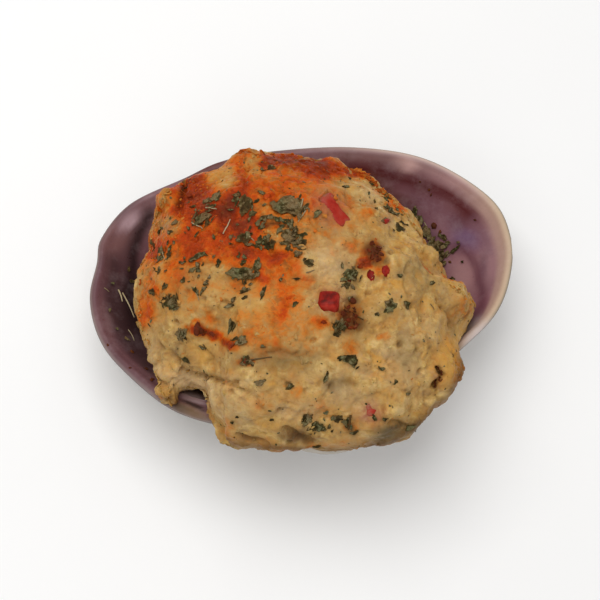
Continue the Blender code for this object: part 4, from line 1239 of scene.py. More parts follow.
def pressed(points, name, cover):
    """The heap's points pressed down under a block of pepper, but for a brim that creeps over its edge."""
    place, size = block_frame(name)
    local = moved_to(points, place.inverted())
    half = np.array(size) / 2
    off = np.maximum(np.abs(local[:, 0]) - half[0], np.abs(local[:, 1]) - half[1])
    off = off + (cover + 1.5 * noise_at(points, 2.0 * MM, 77.0)) * MM
    under = 1.0 - smooth_step(off, -0.5 * MM, -0.1 * MM)
    creep = smooth_step(off, -0.1 * MM, 0.3 * MM) * (1.0 - smooth_step(off, 0.6 * MM, 1.8 * MM))
    level = np.minimum(local[:, 2], half[2] - POCKET_SINK)
    near = np.abs(local[:, 2]) < half[2] + POCKET_REACH
    local[:, 2] += np.where(near, (level - local[:, 2]) * under, 0.0)
    brim = np.clip(half[2] + BRIM_RISE - local[:, 2], 0.0, BRIM_MOST)
    local[:, 2] += np.where(near, brim * creep, 0.0)
    return moved_to(local, place)


def make_stuffing(settings):
    """The heap: even faces over its smooth form, then crags, lumps, cracks and grit."""
    margin = closed_curve(MARGIN_KNOTS, MARGIN_POINTS) * MM
    rest = resting_frame()
    points, faces = valve(0.0)[:2]
    valve_tree = BVHTree.FromPolygons(moved_to(points, rest.inverted()).tolist(), faces)
    ball, faces = ball_of(MOUND_DETAIL)
    places = mound_places(ball)
    places[:, 2] = np.maximum(places[:, 2], floor_heights(places, margin, valve_tree))
    obj = new_object("stuffing_heap", places, faces)
    remesh = obj.modifiers.new("even_faces", "REMESH")
    remesh.mode = "VOXEL"
    remesh.voxel_size = settings.grain
    applied(obj)
    mesh = obj.data
    places = points_of(mesh)
    height = swelling_heights(places, SWELLINGS) + crag_heights(places, CRAGS) * CRAG_SHARE
    height = height + swelling_heights(places, TRIMS) - INSET
    places = pulled(places + normals_of(mesh) * height[:, None])
    set_points(mesh, places)
    normals = normals_of(mesh)
    turned = turned_to_rest(normals)
    toast = browning(moved_to(places, rest), turned)
    fine, hollow = fine_heights(places, normals, toast)
    places = places + normals * fine[:, None]
    places[:, 2] = np.maximum(places[:, 2], floor_heights(places, margin, valve_tree))
    settled = in_box(moved_to(places, rest))
    for name, cover in POCKETS:
        settled = pressed(settled, name, cover)
    set_points(mesh, settled)
    mesh.shade_smooth()
    set_value(mesh, "toast", browning(settled, turned))
    set_value(mesh, "hollow", hollow)
    # Burnt spots, and painted shade along the crevices, folds and edges.
    scorch = overlaid(settled, SCORCH_AND_SHADE_PATCHES, 81.0)
    across, down = ragged_places(settled, 161.0, 1.6 * MM, 1.4)
    for line, half_width, strength in SHADE_AND_BROWN_LINES:
        scorch = np.maximum(scorch, beside(across, down, line, half_width) * strength)
    set_value(mesh, "scorch", scorch * facing_eye(settled, turned, -0.25, 0.05))
    for name, patches, shift, far in (
        ("paste", PASTE_AND_SHADE_PATCHES, 101.0, 3.5), ("yellow", YELLOW_PATCHES, 121.0, 3.5),
        ("pale", PALE_PATCHES, 181.0, 3.5), ("stain", STAIN_PATCHES, 141.0, 1.5),
    ):
        set_value(mesh, name, overlaid(settled, patches, shift, far))
    return finished(obj, "stuffing", crust_material(settings), "stuffing")


# Things on the heap


class Gathered:
    """Points, faces and values of many small things, gathered into one mesh."""

    def __init__(self):
        self.points, self.faces, self.values, self.count = [], [], {}, 0

    def add(self, points, faces, **values):
        """Adds one thing, with a value or an array of values for its points."""
        self.points.append(points)
        self.faces.extend([[corner + self.count for corner in face] for face in faces])
        for name, value in values.items():
            filled = np.broadcast_to(np.asarray(value, float), (len(points),))
            self.values.setdefault(name, []).append(filled)
        self.count += len(points)

    def made(self, name):
        """The mesh object of everything gathered."""
        obj = new_object(name, in_box(np.vstack(self.points)), self.faces)
        for value_name, parts in self.values.items():
            set_value(obj.data, value_name, np.concatenate(parts))
        return obj


def leaf_net(sides, rings):
    """A disc of rings: places from -0.5 to 0.5, share of the way out, angle of each point, and faces."""
    angles = np.arange(sides) / sides * 2 * math.pi
    circle = np.column_stack([np.cos(angles), np.sin(angles)]) * 0.5
    flat = np.vstack([[[0.0, 0.0]]] + [circle * (ring / rings) for ring in range(1, rings + 1)])
    faces = [(0, 1 + n, 1 + (n + 1) % sides) for n in range(sides)]
    for ring in range(1, rings):
        inner, outer = 1 + (ring - 1) * sides, 1 + ring * sides
        for n in range(sides):
            after = (n + 1) % sides
            faces.append((inner + n, outer + n, outer + after, inner + after))
    return flat, np.linalg.norm(flat, axis=1) * 2.0, np.arctan2(flat[:, 1], flat[:, 0]), faces


def thick_sheet(points, facing, faces, thickness):
    """Both sides and the edge of a thin sheet that faces this way."""
    count = len(points)
    both = np.vstack([points, points - facing * thickness])
    edges = {}
    for face in faces:
        for a, b in zip(face, face[1:] + face[:1]):
            edges[(a, b)] = edges.get((a, b), 0) + 1
    rim = [(a, b) for a, b in edges if (b, a) not in edges]
    sides = [(b, a, a + count, b + count) for a, b in rim]
    under = [tuple(corner + count for corner in reversed(face)) for face in faces]
    return both, [tuple(face) for face in faces] + under + sides


def add_leaf(gathered, tree, across, down, length, width, turn, draw, lift=None):
    """A dried leaf lying on the surface: ragged, crumpled and curled up at places along its edge."""
    place = laid(tree, across, down, turn)
    large = length > LARGE_LEAF
    flat, radius, way, faces = leaf_net(*((44, 6) if large else (20, 3)))
    phase = draw.uniform(0.0, 6.28, 4)
    ragged = 1.0 if length < 4.0 else 0.6 if length < 7.0 else 0.35
    lobes = sum(depth * np.sin(count * way + start) for (count, depth), start in zip(LEAF_LOBES, phase))
    flat = flat * (1.0 + ragged * lobes * radius)[:, None] * (length * MM, width * MM)
    curl = draw.uniform(0.1, 0.5) * MM * radius**2 * (0.5 + 0.5 * np.sin(2 * way + phase[3]))
    layer = np.column_stack([flat, np.full(len(flat), phase[0])])
    crumple = (noise_at(layer, 1.0 * MM, phase[1]) * 0.5 + noise_at(layer, 2.2 * MM, phase[2]) * 0.5) * MM
    points = np.empty((len(flat), 3))
    facing = np.array(place.to_3x3())[:, 2]
    normal = Vector(facing)
    if lift is None:
        lift = (0.18 if length < 5.0 else 0.4) * MM
    for n, (x, y) in enumerate(flat):
        start = place @ Vector((x, y, 2.5 * MM))
        hit = tree.ray_cast(start, -normal, 5.0 * MM)[0]
        ground = (hit - place.translation).dot(normal) if hit else 0.0
        points[n] = place @ Vector((x, y, ground * (0.95 if ground > 0.0 else 0.7) + lift))
    heights = curl + np.maximum(crumple * (0.7 if large else 0.45), -0.16 * MM)
    both, faces = thick_sheet(points + facing * heights[:, None], facing, faces, LEAF_THICKNESS)
    vein = np.exp(-((flat[:, 1] / (0.09 * width * MM)) ** 2)) * 0.25
    tone = draw.uniform(0.15, 0.72) if length < 7.0 else 0.74
    under = toasted(np.array([across]), np.array([down]))[0]
    # The crumple term darkens the leaf in its folds and lightens it on its ridges: painted shade and light.
    shade = tone + np.tile(vein + crumple / (0.5 * MM), 2)
    gathered.add(both, faces, shade=shade, edge=np.tile(radius, 2), toast=under)


def make_herbs(settings):
    """The dried leaves that show singly, those torn to shreds, and the fragments strewn round them."""
    tree = tree_of("stuffing_heap")
    draw = np.random.default_rng(SEED)
    leaves = Gathered()
    for herb in HERBS + SMALL_HERBS:
        add_leaf(leaves, tree, *herb, draw)
    for across, down, length, width, turn, count in SHREDS:
        aside = math.radians(turn + 90.0)
        for n in range(count):
            off = ((n + 0.5) / count - 0.5) * width / 0.25 + draw.normal(0.0, 0.6)
            place = across + off * math.cos(aside) + draw.normal(0.0, 1.0), down - off * math.sin(aside)
            size = length * draw.uniform(0.7, 1.2)
            narrow = draw.uniform(0.35, 0.65)
            add_leaf(leaves, tree, *place, size, narrow, turn + draw.normal(0.0, 14.0), draw)
    for middle, reach, count in STREWN:
        for _ in range(count):
            place = draw.normal(middle, reach)
            if met(tree, *place)[0] is None:
                continue
            size = draw.uniform(0.7, 1.9)
            add_leaf(leaves, tree, *place, size, size * draw.uniform(0.35, 0.7), draw.uniform(0, 180), draw)
    for across, down, length, *_ in HERBS:
        for _ in range(int(length * 0.45)):
            off = draw.normal(0.0, 1.0, 2) * length * 2.1
            size = draw.uniform(0.8, 1.9)
            place = across + off[0], down + off[1]
            if met(tree, *place)[0] is None:
                continue
            add_leaf(leaves, tree, *place, size, size * draw.uniform(0.4, 0.8), draw.uniform(0, 180), draw)
    return finished(leaves.made("herb_leaves"), "stuffing", herb_material(settings))


def surface_draws(mesh, count, draw, weight):
    """Random points of a mesh, likelier where the weight is larger: places, normals and numbers."""
    share = weight / weight.sum()
    picked = draw.choice(len(weight), size=count, replace=False, p=share)
    return points_of(mesh)[picked], normals_of(mesh)[picked], picked


def open_to_air(mesh):
    """1 where the heap lies open, 0 on its underside."""
    places = points_of(mesh)
    normals = normals_of(mesh)
    return smooth_step(normals[:, 2], -0.25, 0.1) * smooth_step(places[:, 2], 22.0 * MM, 26.0 * MM)


def random_ways(normal, draw):
    """Two ways along a surface, square to each other and turned at random."""
    side = np.cross(normal, draw.normal(size=3))
    side /= np.linalg.norm(side)
    return side, np.cross(normal, side)


def make_specks(settings):
    """Fine flakes of herb strewn over the heap."""
    heap = bpy.data.objects["stuffing_heap"].data
    draw = np.random.default_rng(SEED + 1)
    patchy = smooth_step(noise_at(points_of(heap), 11.0 * MM, 7.0), -0.5, 0.5)
    weight = open_to_air(heap) * (0.25 + 0.5 * value_of(heap, "toast") + 0.6 * patchy)
    places, normals, _ = surface_draws(heap, settings.specks, draw, weight)
    angles = np.arange(SPECK_SIDES) / SPECK_SIDES * 2 * math.pi
    specks = Gathered()
    for place, normal in zip(places, normals):
        side, other = random_ways(normal, draw)
        length = draw.gamma(2.0, 0.16) * MM + 0.15 * MM
        width = length * draw.uniform(0.35, 0.8)
        reach = draw.uniform(0.7, 1.15, SPECK_SIDES) * 0.5
        tilt = draw.uniform(-0.3, 0.3, 2)
        x, y = np.cos(angles) * reach * length, np.sin(angles) * reach * width
        top = place + np.outer(x, side) + np.outer(y, other)
        top += np.outer(x * tilt[0] + y * tilt[1] + 0.10 * MM, normal)
        both, faces = thick_sheet(top, normal, [list(range(SPECK_SIDES))], SPECK_THICKNESS)
        specks.add(both, faces, shade=draw.uniform(0.25, 1.0), edge=0.5, toast=0.3)
    return finished(specks.made("herb_specks"), "stuffing", herb_material(settings))


def crust_values(toast, scorch=0.0, paste=0.0, yellow=0.0):
    """What the crust's material reads from the points of a loose crumb or flake."""
    return {"toast": toast, "scorch": scorch, "paste": paste, "yellow": yellow, "hollow": 0.0}


def make_crumbs(settings):
    """Loose crumbs and flakes of crust, most where the crust is brown and along its ragged edges."""
    heap = bpy.data.objects["stuffing_heap"].data
    draw = np.random.default_rng(SEED + 2)
    patchy = smooth_step(noise_at(points_of(heap), 7.0 * MM, 91.0), -0.3, 0.6)
    weight = open_to_air(heap) * (0.15 + patchy + 0.3 * value_of(heap, "toast"))
    places, normals, picked = surface_draws(heap, settings.crumbs, draw, weight)
    values = [value_of(heap, name)[picked] for name in ("toast", "scorch", "paste", "yellow")]
    crumbs = Gathered()
    for place, normal, toast, *others in zip(places, normals, *values):
        near = crust_values(np.clip(toast + draw.normal(0.02, 0.07), 0.0, 1.0), *others)
        length = (0.28 + draw.gamma(2.0, 0.13)) * MM
        add_crumb(crumbs, place - normal * 0.15 * length, normal, length, draw, **near)
    tree = tree_of("stuffing_heap")
    for across, down, size, toast, scorch in BEADS:
        place, normal = np.array(sighted(tree, across, down))
        add_crumb(crumbs, place, normal, size * 0.5 * MM, draw, **crust_values(toast, scorch))
    for middle, reach, count, toast in CRUMB_HEAPS:
        for _ in range(count):
            place, normal = met(tree, *draw.normal(middle, reach))
            if place is None:
                continue
            size = draw.uniform(0.25, 0.55) * MM
            under = toasted(*picture_places(np.array([place])))[0]
            browned = 0.35 * toast + 0.65 * under + draw.normal(0.0, 0.08)
            add_crumb(crumbs, np.array(place), np.array(normal), size, draw, **crust_values(browned))
    add_flakes(crumbs, tree, draw)
    return finished(crumbs.made("crust_crumbs"), "stuffing", crust_material(settings))


def add_crumb(crumbs, place, normal, length, draw, **values):
    """An uneven crumb that lies flat on its place."""
    side, other = random_ways(normal, draw)
    shift = float(draw.uniform(0.0, 90.0))
    ball, faces = ball_of(CRUMB_DETAIL)
    rough = 0.5 - cells_at(ball, 0.9, shift) + 0.6 * noise_at(ball * 1.3, 1.0, shift)
    shape = ball * (1.0 + 0.9 * min(1.0, 0.7 * MM / length) * rough)[:, None]
    shape = shape * (length, length * draw.uniform(0.45, 0.9), length * draw.uniform(0.25, 0.5))
    axes = np.array([side, other, normal])
    crumbs.add(shape @ axes + place - normal * 0.1 * length, faces, **values)


def add_flakes(gathered, tree, draw):
    """Thin torn flakes of crust that stand up along the heap's edges."""
    for line, count, length, toast in FLAKE_LINES:
        for n in range(count):
            share = (n + draw.uniform(0.1, 0.9)) / count * (len(line) - 1)
            leg = min(int(share), len(line) - 2)
            (x0, y0), (x1, y1) = line[leg : leg + 2]
            across = x0 + (x1 - x0) * (share - leg) + draw.normal(0.0, 1.0)
            down = y0 + (y1 - y0) * (share - leg) + draw.normal(0.0, 1.0)
            if met(tree, across, down)[0] is None:
                continue
            size = length * draw.uniform(0.5, 1.3) * MM
            turn = math.degrees(math.atan2(y0 - y1, x1 - x0)) + draw.normal(0.0, 20.0)
            stood_up = Matrix.Rotation(math.radians(draw.uniform(15.0, 65.0)), 4, "X")
            place = laid(tree, across, down, turn) @ stood_up
            flat, radius, way, faces = leaf_net(12, 3)
            phase = draw.uniform(0.0, 6.28, 3)
            lobes = 1.0 + radius * (0.2 * np.sin(3 * way + phase[0]) + 0.2 * np.sin(6 * way + phase[1]))
            flat = flat * lobes[:, None] * (size, size * draw.uniform(0.4, 0.8))
            bend = (radius**2 * 0.15 + 0.12 * np.sin(2 * way + phase[2])) * size
            points = moved_to(np.column_stack([flat, bend]), place)
            sheet, faces = thick_sheet(points, np.array(place.to_3x3())[:, 2], faces, FLAKE_THICKNESS)
            scorch = draw.uniform(0.0, 0.35) + (0.6 if toast > 0.9 else 0.0)
            browned = toast + draw.normal(0.0, 0.1)
            gathered.add(sheet, faces, **crust_values(browned, scorch, yellow=0.3 * (1.0 - toast)))


def make_fallen(heap_settings, settings):
    """Leaves, stems and crumbs that have fallen into the shell."""
    tree = tree_of("clam_shell")
    draw = np.random.default_rng(SEED + 5)
    leaves, stems, crumbs = Gathered(), Gathered(), Gathered()
    for leaf in FALLEN_LEAVES:
        add_leaf(leaves, tree, *leaf, draw, FALLEN_LIFT)
    for stem in FALLEN_STEMS:
        add_stem(stems, tree, *stem, draw)
    for across, down, size, toast in FALLEN_CRUMBS:
        place, normal = np.array(sighted(tree, across, down))
        values = crust_values(toast, 0.88 if toast > 0.3 else 0.0, 0.2)
        add_crumb(crumbs, place + normal * size * 0.2 * MM, normal, size * 0.5 * MM, draw, **values)
    finished(leaves.made("fallen_leaves"), "stuffing", herb_material(settings))
    finished(stems.made("fallen_stems"), "stuffing", stem_material())
    finished(crumbs.made("fallen_crumbs"), "stuffing", crust_material(heap_settings))


def tube(path, radius, sides=7):
    """Points and faces of a thin closed rod along a path, tapering a little."""
    path = np.array(path)
    count = len(path)
    ways = np.gradient(path, axis=0)
    ways /= np.linalg.norm(ways, axis=1)[:, None]
    side = np.cross(ways, np.array((0.13, 0.21, 0.97)))
    side /= np.linalg.norm(side, axis=1)[:, None]
    other = np.cross(ways, side)
    angles = np.arange(sides) / sides * 2 * math.pi
    taper = np.linspace(1.0, 0.65, count)[:, None, None] * radius
    circle = np.cos(angles)[None, :, None] * side[:, None] + np.sin(angles)[None, :, None] * other[:, None]
    points = (path[:, None] + circle * taper).reshape(-1, 3)
    faces = []
    for ring in range(count - 1):
        for n in range(sides):
            after = (n + 1) % sides
            a, b = ring * sides, (ring + 1) * sides
            faces.append((a + n, a + after, b + after, b + n))
    faces.append(tuple(reversed(range(sides))))
    faces.append(tuple(range((count - 1) * sides, count * sides)))
    return points, faces


def add_stem(gathered, tree, start, end, thickness, dark, draw):
    """A stem lying on what is in sight between two pixels."""
    path = []
    bend = draw.uniform(-0.8, 0.8)
    for n in range(STEM_STEPS):
        share = n / (STEM_STEPS - 1)
        across = start[0] + (end[0] - start[0]) * share + bend * math.sin(share * math.pi)
        down = start[1] + (end[1] - start[1]) * share
        place, normal = sighted(tree, across, down)
        path.append(place + normal * thickness * 0.6 * MM)
    path = np.array(path)
    level = path[[0]] + (path[[-1]] - path[[0]]) * np.linspace(0, 1, STEM_STEPS)[:, None]
    points, faces = tube(np.maximum(path, level) * 0.5 + path * 0.5, thickness * MM / 2)
    gathered.add(points, faces, dark=dark)


def make_stems():
    """Pale and dark stems among the leaves."""
    tree = tree_of("stuffing_heap")
    draw = np.random.default_rng(SEED + 3)
    stems = Gathered()
    for stem in STEMS:
        add_stem(stems, tree, *stem, draw)
    return finished(stems.made("herb_stems"), "stuffing", stem_material())


def add_block(gathered, place, size, shift, pale):
    """A cut piece of pepper: even faces, rounded edges and sides that swell and sink."""
    bm = bmesh.new()
    bmesh.ops.create_cube(bm, size=1.0, matrix=Matrix.Diagonal((*size, 1.0)))
    bmesh.ops.bevel(bm, geom=bm.edges[:], offset=PEPPER_BEVEL, segments=3, affect="EDGES", profile=0.5)
    bmesh.ops.subdivide_edges(bm, edges=bm.edges[:], cuts=3, use_grid_fill=True)
    bmesh.ops.triangulate(bm, faces=bm.faces)
    points, faces = taken_from(bm)
    faces = in_fixed_order(faces)
    ways = points / np.linalg.norm(points, axis=1)[:, None]
    sway = noise_at(points, min(size) * 0.8, shift) - 0.5
    points = points + ways * (sway * PEPPER_SWAY * min(size))[:, None]
    edge = np.max(np.abs(points[:, :2]) / (np.array(size[:2]) / 2), axis=1)
    gathered.add(moved_to(points, place), faces, edge=edge, pale=pale)


def make_pepper(settings):
    """The pepper dice, the pepper strip and the small red bits."""
    tree = tree_of("stuffing_heap")
    draw = np.random.default_rng(SEED + 4)
    material = pepper_material(settings)
    pieces = (
        ("pepper_cube", "pepper_dice", 0.0, 3.0),
        ("pepper_long_piece", "pepper_strip", 0.5, 5.0),
    )
    for name, solid, pale, shift in pieces:
        place, size = block_frame(solid)
        gathered = Gathered()
        add_block(gathered, place, [side * PEPPER_GROWTH for side in size], shift, pale)
        finished(gathered.made(name), "pepper", material, solid)
    bits = Gathered()
    for across, down, side, pale in RED_BITS:
        place, normal = np.array(sighted(tree, across, down))
        add_crumb(bits, place, normal, side * 0.55 * MM, draw, edge=0.4, pale=pale)
    finished(bits.made("pepper_bits"), "stuffing", material)


# Materials


def new_surface(name):
    """A material, its node tree's helper and its Principled shader."""
    material = bpy.data.materials.new(name)
    material.use_nodes = True
    tree = material.node_tree
    return material, tree, tree.nodes["Principled BSDF"]


def linked(tree, made, links):
    """Links a node's inputs, by name or number, or sets them where a plain value is given."""
    for key, value in links.items():
        if isinstance(value, bpy.types.NodeSocket):
            tree.links.new(value, made.inputs[key])
        else:
            made.inputs[key].default_value = value


def node(tree, kind, links=None, **settings):
    """A node with these settings and inputs."""
    made = tree.nodes.new(kind)
    for key, value in settings.items():
        setattr(made, key, value)
    linked(tree, made, links or {})
    return made


def value_named(tree, name):
    """A named number of the mesh's points."""
    return node(tree, "ShaderNodeAttribute", attribute_name=name).outputs["Fac"]


def object_place(tree):
    """Place on the object, in metres."""
    return node(tree, "ShaderNodeTexCoord").outputs["Object"]


def noise_node(tree, place, across, detail=3.0, roughness=0.6, streaky=0.0):
    """Noise with features of this size in metres, from 0 to 1, drawn out into streaks if wanted."""
    links = {"Vector": place, "Scale": 1.0 / across, "Detail": detail, "Roughness": roughness}
    return node(tree, "ShaderNodeTexNoise", {**links, "Distortion": streaky}).outputs["Fac"]


def ranged(tree, value, low, high, to_low=0.0, to_high=1.0):
    """The value mapped from one range to another and held there."""
    links = {"Value": value, "From Min": low, "From Max": high, "To Min": to_low, "To Max": to_high}
    return node(tree, "ShaderNodeMapRange", links).outputs["Result"]


def clouded(tree, place, cloud, low, high, most):
    """A share from 0 to most, by noise with this size in millimetres, detail, roughness and streakiness."""
    across, *fineness = cloud
    return ranged(tree, noise_node(tree, place, across * MM, *fineness), low, high, 0.0, most)


def summed(tree, first, second, share=1.0):
    """first + second * share."""
    return node(tree, "ShaderNodeMath", {0: second, 1: share, 2: first}, operation="MULTIPLY_ADD").outputs[0]


def times(tree, first, second):
    """first * second."""
    return node(tree, "ShaderNodeMath", {0: first, 1: second}, operation="MULTIPLY").outputs[0]


def mixed(tree, share, first, second, blend="MIX"):
    """Two colours mixed by share."""
    colours = [one if isinstance(one, bpy.types.NodeSocket) else (*one, 1.0) for one in (first, second)]
    links = {0: share, 6: colours[0], 7: colours[1]}
    return node(tree, "ShaderNodeMix", links, data_type="RGBA", blend_type=blend).outputs[2]


def coated(tree, colour, *coats):
    """The colour under others, each with its share and, where it isn't plainly mixed, its way of blending."""
    for share, *coat in coats:
        colour = mixed(tree, share, colour, *coat)
    return colour


def ramp(tree, value, stops):
    """Colours along a value."""
    made = tree.nodes.new("ShaderNodeValToRGB")
    tree.links.new(value, made.inputs[0])
    elements = made.color_ramp.elements
    while len(elements) < len(stops):
        elements.new(0.5)
    for element, (place, colour) in zip(elements, stops):
        element.position = place
        element.color = (*colour, 1.0)
    return made.outputs[0]


def bumped(tree, height, strength, distance):
    """A normal bent by a height."""
    links = {"Height": height, "Strength": strength, "Distance": distance}
    return node(tree, "ShaderNodeBump", links).outputs["Normal"]


def grain_group():
    """Node group: grain at two sizes. Its height bends the normal, its value varies a colour."""
    name = "Fine grain"
    if name in bpy.data.node_groups:
        return bpy.data.node_groups[name]
    group = bpy.data.node_groups.new(name, "ShaderNodeTree")
    sizes = ("Coarse size", "Fine size")
    for socket, way in ((sizes[0], "INPUT"), (sizes[1], "INPUT"), ("Height", "OUTPUT"), ("Value", "OUTPUT")):
        group.interface.new_socket(name=socket, in_out=way, socket_type="NodeSocketFloat")
    start = group.nodes.new("NodeGroupInput")
    end = group.nodes.new("NodeGroupOutput")
    place = object_place(group)
    scaled = []
    for size in sizes:
        scale = node(group, "ShaderNodeMath", {0: 1.0, 1: start.outputs[size]}, operation="DIVIDE").outputs[0]
        links = {"Vector": place, "Scale": scale, "Detail": 4.0, "Roughness": 0.62}
        scaled.append(node(group, "ShaderNodeTexNoise", links).outputs["Fac"])
    height = summed(group, times(group, scaled[0], 0.65), scaled[1], 0.35)
    linked(group, end, {"Height": height, "Value": ranged(group, height, 0.32, 0.68)})
    return group


def grain(tree, coarse, fine):
    """The grain group placed in a material: its height and value."""
    sizes = {"Coarse size": coarse, "Fine size": fine}
    made = node(tree, "ShaderNodeGroup", sizes, node_tree=grain_group())
    return made.outputs["Height"], made.outputs["Value"]


def shell_material():
    """Smooth stained inside, chalky ridged outside."""
    material, tree, surface = new_surface("clam shell")
    tint = node(tree, "ShaderNodeAttribute", attribute_name="tint").outputs["Color"]
    inside = value_named(tree, "inside")
    height, value = grain(tree, 3.0 * MM, 0.5 * MM)
    shades = ramp(tree, value, ((0.0, (0.62, 0.58, 0.6)), (1.0, WHITE)))
    shaded = mixed(tree, 0.30, tint, shades, "MULTIPLY")
    growth = node(tree, "ShaderNodeCombineXYZ", {"X": times(tree, value_named(tree, "growth"), 160.0)})
    streaks = noise_node(tree, growth.outputs[0], 1.0)
    lined = mixed(tree, ranged(tree, streaks, 0.45, 0.75, 0.0, 0.35), shaded, (0.10, 0.075, 0.07))
    milky = clouded(tree, object_place(tree), (6.0, 5.0, 0.7), 0.5, 0.8, 0.16)
    glaze = mixed(tree, milky, shaded, (0.50, 0.40, 0.42))
    ridges = times(tree, summed(tree, height, streaks, 0.8), ranged(tree, inside, 0.0, 1.0, 1.0, 0.08))
    linked(tree, surface, {
        "Base Color": mixed(tree, inside, lined, glaze),
        "Roughness": summed(tree, ranged(tree, inside, 0.0, 1.0, 0.78, 0.26), value, 0.10),
        "Normal": bumped(tree, ridges, 0.55, 0.25 * MM),
        "Specular IOR Level": 0.2,
    })
    return material


def browned_colour(tree, place, toast, settings):
    """The crust's colour by its blotchy toast value, and how raw it still is, from 1 (cream) to 0."""
    blotchy = ranged(tree, toast, 0.22, 0.6, 0.35, 1.0)
    for across, low, high, share in ((5.0, 0.3, 0.7, 0.24), (1.9, 0.35, 0.65, 0.18), (0.8, 0.35, 0.65, 0.05)):
        blotch = ranged(tree, noise_node(tree, place, across * MM, 3.0, 0.55, 0.8), low, high, -0.5, 0.5)
        toast = summed(tree, toast, times(tree, blotch, blotchy), share)
    cream = tuple(settings.cream)
    stops = (
        (0.0, tuple(channel * 1.12 for channel in cream)), (0.18, cream), (0.30, (0.50, 0.270, 0.080)),
        (0.42, (0.56, 0.205, 0.034)), (0.58, tuple(settings.orange)), (0.71, (0.49, 0.060, 0.003)),
        (0.86, (0.38, 0.042, 0.004)), (1.0, tuple(settings.brown)),
    )
    return ramp(tree, toast, stops), ranged(tree, toast, 0.12, 0.36, 1.0, 0.0)


def raw_hues(tree, place):
    """The hues of pale stuffing: cream, with golden and greyish patches."""
    cream = ramp(tree, noise_node(tree, place, 3.0 * MM, 4.0, 0.62, 0.5), (
        (0.35, (0.35, 0.215, 0.088)), (0.45, (0.49, 0.310, 0.108)), (0.54, (0.61, 0.420, 0.150)),
        (0.63, (0.74, 0.550, 0.245)),
    ))
    golden = clouded(tree, place, (4.1, 3.0, 0.6, 0.5), 0.50, 0.63, 0.85)
    greyish = clouded(tree, place, (5.3, 2.0, 0.5, 0.5), 0.53, 0.65, 0.5)
    return coated(tree, cream, (golden, (0.59, 0.305, 0.058)), (greyish, (0.40, 0.295, 0.155)))


def crust_material(settings):
    """Moist stuffing, browned by its toast value, with pale, yellow, grey, stained and scorched patches, and
    painted shade in its cracks, creases, folds and under its edges.
    """
    name = "baked stuffing"
    if name in bpy.data.materials:
        return bpy.data.materials[name]
    material, tree, surface = new_surface(name)
    place = object_place(tree)
    height, value = grain(tree, 1.1 * MM, 0.36 * MM)
    toast, pale, yellow, paste, stain, scorch, hollow = (
        value_named(tree, kind) for kind in ("toast", "pale", "yellow", "paste", "stain", "scorch", "hollow")
    )
    colour, raw = browned_colour(tree, place, toast, settings)
    crusty = ranged(tree, toast, 0.3, 0.6)
    zones = ramp(tree, noise_node(tree, place, 8.0 * MM, 2.0, 0.5, 0.5), (
        (0.34, (0.76, 0.72, 0.72)), (0.46, (1.0, 0.97, 0.95)), (0.56, (1.0, 0.93, 0.76)),
        (0.66, (0.92, 0.72, 0.54)),
    ))
    pinkish = noise_node(tree, place, 3.1 * MM, 3.0, 0.6, 1.5)
    streaks = noise_node(tree, place, 1.7 * MM, 3.0, 0.6, 1.2)
    shades = ramp(tree, streaks, (
        (0.30, (0.62, 0.50, 0.34)), (0.40, (0.90, 0.85, 0.76)), (0.50, WHITE), (0.65, (1.1, 1.1, 1.1)),
    ))
    dark_flecks = clouded(tree, place, (1.9, 3.0, 0.6, 0.6), 0.50, 0.38, 0.8)
    golden_flecks = clouded(tree, place, (1.4, 2.0, 0.5, 0.6), 0.57, 0.67, 0.12)
    specks = clouded(tree, place, (0.8, 2.0, 0.5), 0.64, 0.72, 0.4)
    grainy = ramp(tree, value, ((0.0, (0.66, 0.56, 0.42)), (1.0, WHITE)))
    colour = coated(
        tree, colour,
        (times(tree, raw, 0.85), raw_hues(tree, place)),
        (raw, zones, "MULTIPLY"),
        (times(tree, pale, 0.75), (0.80, 0.58, 0.32)),
        (times(tree, yellow, 0.8), (0.62, 0.33, 0.065)),
        # Moist grey-green patches, one of them painted shadow at the bottom edge.
        (times(tree, paste, 0.9), (0.12, 0.090, 0.043)),
        (times(tree, raw, ranged(tree, pinkish, 0.58, 0.70, 0.0, 0.4)), (0.46, 0.285, 0.160)),
        (0.34, shades, "MULTIPLY"),
        (times(tree, crusty, dark_flecks), (0.55, 0.48, 0.50), "MULTIPLY"),
        (times(tree, crusty, golden_flecks), (0.56, 0.20, 0.035)),
        (times(tree, stain, ranged(tree, pinkish, 0.35, 0.6, 0.55, 0.95)), (0.32, 0.105, 0.066)),
        # Almost black: burnt crust, and painted shade in crevices, folds and under the edges.
        (scorch, (0.058, 0.018, 0.006)),
        # Painted shade in the cracks, creases and pits.
        (times(tree, hollow, ranged(tree, toast, 0.2, 0.6, 0.45, 0.4)), (0.60, 0.46, 0.32), "MULTIPLY"),
        (specks, (0.24, 0.110, 0.035)),
        (0.2, grainy, "MULTIPLY"),
    )
    rough = times(tree, summed(tree, height, streaks, 0.5), ranged(tree, crusty, 0.0, 1.0, 1.0, 1.7))
    linked(tree, surface, {
        "Base Color": colour,
        "Roughness": ranged(tree, streaks, 0.3, 0.7, 0.58, 0.34),
        "Normal": bumped(tree, rough, 0.5, 0.36 * MM),
        "Specular IOR Level": 0.08,
        "Subsurface Weight": 0.22,
        "Subsurface Radius": (1.0, 0.5, 0.2),
        "Subsurface Scale": 1.5 * MM,
    })
    return material


